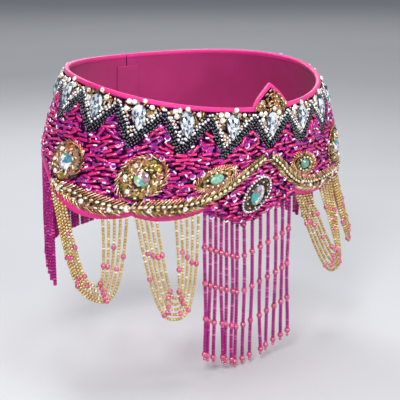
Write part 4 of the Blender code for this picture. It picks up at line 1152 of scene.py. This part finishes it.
def make_front_fringe():
    """The front fringe: beaded strands, a pearl at the end of every segment and a small bead under the
    last."""
    along = np.linspace(-FRONT_HALF_WIDTH, FRONT_HALF_WIDTH, FRONT_STRANDS)
    length = FRONT_SEGMENT * FRONT_PEARLS + STRAND_SLACK
    paths = hanging(along, length)
    strands = beaded(paths, STRAND_STEP, STRAND_RADIUS, np.array([0.0, 1.0, 0.0]))
    share = np.linspace(0.0, 1.0, STRAND_POINTS)
    pearls = []
    for number in range(FRONT_PEARLS):
        at = FRONT_SEGMENT * (number + 1) / length
        places = np.stack([[np.interp(at, share, line) for line in path.T] for path in paths])
        pearls.append(pearls_at(places, PEARL_RADIUS))
    pearls.append(pearls_at(places - np.array([0.0, 0.0, PEARL_RADIUS * 1.5]), PEARL_RADIUS * 0.55))
    add_piece("front_fringe_strands", [strands], STRAND_MAGENTA, ["fringe_front"])
    add_piece("front_fringe_pearls", pearls, PINK_PEARL)


def make_side_fringes():
    """Close straight strands round the sides and the back, in two pieces on each side."""
    for start, end, name in SIDE_FRINGES:
        for side, word in ((-1, "right"), (1, "left")):
            along = np.linspace(start + 0.0015, end - 0.0015, SIDE_STRANDS) * side
            paths = hanging(along, SIDE_LENGTH)
            middle = belt_frame(along[SIDE_STRANDS // 2], -0.03)[1][:, 2]
            strands = beaded(paths, STRAND_STEP, STRAND_RADIUS, middle)
            add_piece(f"{name}_fringe_{word}", [strands], STRAND_MAGENTA,
                      [f"fringe_{name}_{word}"])


def swag_path(start, end, drop, forward, aside, lift):
    """A loop from one root to another: it follows the hem in plan, sags as one less a power of its share from
    the middle, and comes a little forward and aside as it sags."""
    sideways = 0.5 - 0.5 * np.cos(math.pi * np.linspace(0.0, 1.0, SWAG_POINTS))
    sag = 1.0 - np.abs(2.0 * sideways - 1.0) ** SWAG_SHAPE
    roots = strand_root(np.array([start, end]), lift)
    height = roots[0, 2] + (roots[1, 2] - roots[0, 2]) * sideways - drop * sag
    plan = strand_root(start + (end - start) * sideways, lift)
    return np.stack([plan[:, 0] + aside * sag, plan[:, 1] - forward * sag, height], axis=-1)


def make_swags():
    """Nested loops of gold beads under the lobes, with pink pearls along them."""
    pearls = []
    for swag in SWAGS:
        for side, word in ((-1, "right"), (1, "left")):
            start, end = side * swag["near"], side * swag["far"]
            middle = belt_frame(np.array((start + end) / 2.0), np.array(-0.06))[1][:, 2]
            loops = []
            for loop in range(SWAG_LOOPS):
                inset = side * (SWAG_INSET + swag["spread"] * loop / (SWAG_LOOPS - 1))
                drop = swag["drop"] - swag["rise"] * loop - (swag["left_lift"] if side > 0 else 0.0)
                aside = swag["left_aside"] if side > 0 else 0.0
                path = swag_path(start + inset, end - inset, drop, swag["forward"], aside, 0.0016)
                loops.append(beaded(path[None], SWAG_STEP, SWAG_RADIUS, middle))
                shares = SWAG_PEARLS + chance.uniform(-0.05, 0.05, len(SWAG_PEARLS))
                places = path[(shares * (SWAG_POINTS - 1)).astype(int)]
                pearls.append(pearls_at(places, PEARL_RADIUS * SWAG_PEARL_SHARE))
            add_piece(f"swag_loops_{swag['name']}_{word}", loops, SWAG_GOLD,
                      [f"swag_{swag['name']}_{word}"])
    add_piece("swag_pearls", pearls, PINK_PEARL)


def make_closure():
    """The underlap inside the opening, as a soft tab of cloth with rounded edges. The hooks keep their
    shape and take a nickel finish."""
    low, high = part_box("back_underlap")
    half = float(angle_at(np.array(HALF_GIRTH - UNDERLAP_HALF_WIDTH)))
    angle = np.linspace(half, 2.0 * math.pi - half, 24)
    turn = np.linspace(0.0, 2.0 * math.pi, 16, endpoint=False)
    up = squared(np.sin(turn), 0.25) * (high.z - low.z) / 2.0
    lift = UNDERLAP_LIFT + squared(np.cos(turn), 0.6) * UNDERLAP_HALF_THICKNESS
    points = hip_at(angle[:, None], (low.z + high.z) / 2.0 + up[None], lift[None])
    underlap = grid_piece("closure_underlap", points, [LINING], np.zeros(len(turn), int),
                          ["back_underlap"])
    made, tree, inputs = new_finish("nickel_hook", 0.28, 1.0)
    noise_colour(tree, inputs, 240.0, ((0.3, 0.55, 0.55, 0.57), (0.7, 0.74, 0.74, 0.76)),
                 stretch=(0.2, 1.0, 1.0))
    for number in (1, 2, 3):
        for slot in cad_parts[f"back_hook_{number}"].material_slots:
            slot.material = made


def make_stage():
    """A plain pale floor, soft lights and the camera."""
    mesh = bpy.data.meshes.new("floor")
    corners = [(x * FLOOR_HALF_SIZE, y * FLOOR_HALF_SIZE, cad_low.z - FLOOR_GAP)
               for x, y in ((-1, -1), (1, -1), (1, 1), (-1, 1))]
    mesh.from_pydata(corners, [], [(0, 1, 2, 3)])
    made, tree, inputs = new_finish("pale_floor", 0.7)
    noise_colour(tree, inputs, 3.0, ((0.3, 0.60, 0.61, 0.63), (0.7, 0.63, 0.64, 0.66)))
    mesh.materials.append(made)
    floor = linked("floor", mesh)
    right = Vector((math.cos(CAMERA_AZIMUTH), math.sin(CAMERA_AZIMUTH), 0.0))
    back = Vector((math.sin(CAMERA_AZIMUTH) * math.cos(CAMERA_ELEVATION),
                   -math.cos(CAMERA_AZIMUTH) * math.cos(CAMERA_ELEVATION), math.sin(CAMERA_ELEVATION)))
    aim = right * CAMERA_ASIDE + Vector((0.0, 0.0, CAMERA_AIM))
    camera = linked("camera", bpy.data.cameras.new("camera"))
    camera.data.lens, camera.data.sensor_width = CAMERA_LENS, 36.0
    camera.location = aim + back * CAMERA_DISTANCE
    camera.rotation_euler = back.to_track_quat("Z", "Y").to_euler()
    bpy.context.scene.camera = camera
    for lamp in LIGHTS:
        light = linked(lamp["name"], bpy.data.lights.new(lamp["name"], "AREA"))
        light.data.size, light.data.energy = lamp["width"], lamp["power"]
        light.location = lamp["place"]
        light.rotation_euler = (Vector(lamp["place"]) - aim).to_track_quat("Z", "Y").to_euler()
    world = bpy.data.worlds.new("soft_room")
    world.use_nodes = True
    set_values(world.node_tree.nodes["Background"], {"Color": (0.80, 0.84, 0.92, 1.0), "Strength": 0.28})
    bpy.context.scene.world = world
    bpy.context.scene.view_settings.view_transform = "Standard"


def declare_cloth():
    """Measures the belt's girth in short steps round it at one height; nothing is done with the lengths."""
    along = np.linspace(-LAST, LAST, 801)
    girth = np.linalg.norm(np.diff(on_belt(along, np.full(along.shape, -0.015)), axis=0), axis=1)


cloth = make_cloth()
make_binding("top_satin_binding", top_edge, 1.0, BINDING_HEIGHT, "top_binding")
make_binding("hem_satin_binding", hem_edge, -1.0, HEM_BINDING_HEIGHT, "hem_binding")
make_zigzag()
make_field()
make_v_fill()
make_teardrops()
make_scrolls()
make_medallion()
make_front_fringe()
make_side_fringes()
make_swags()
make_closure()
declare_cloth()
make_stage()
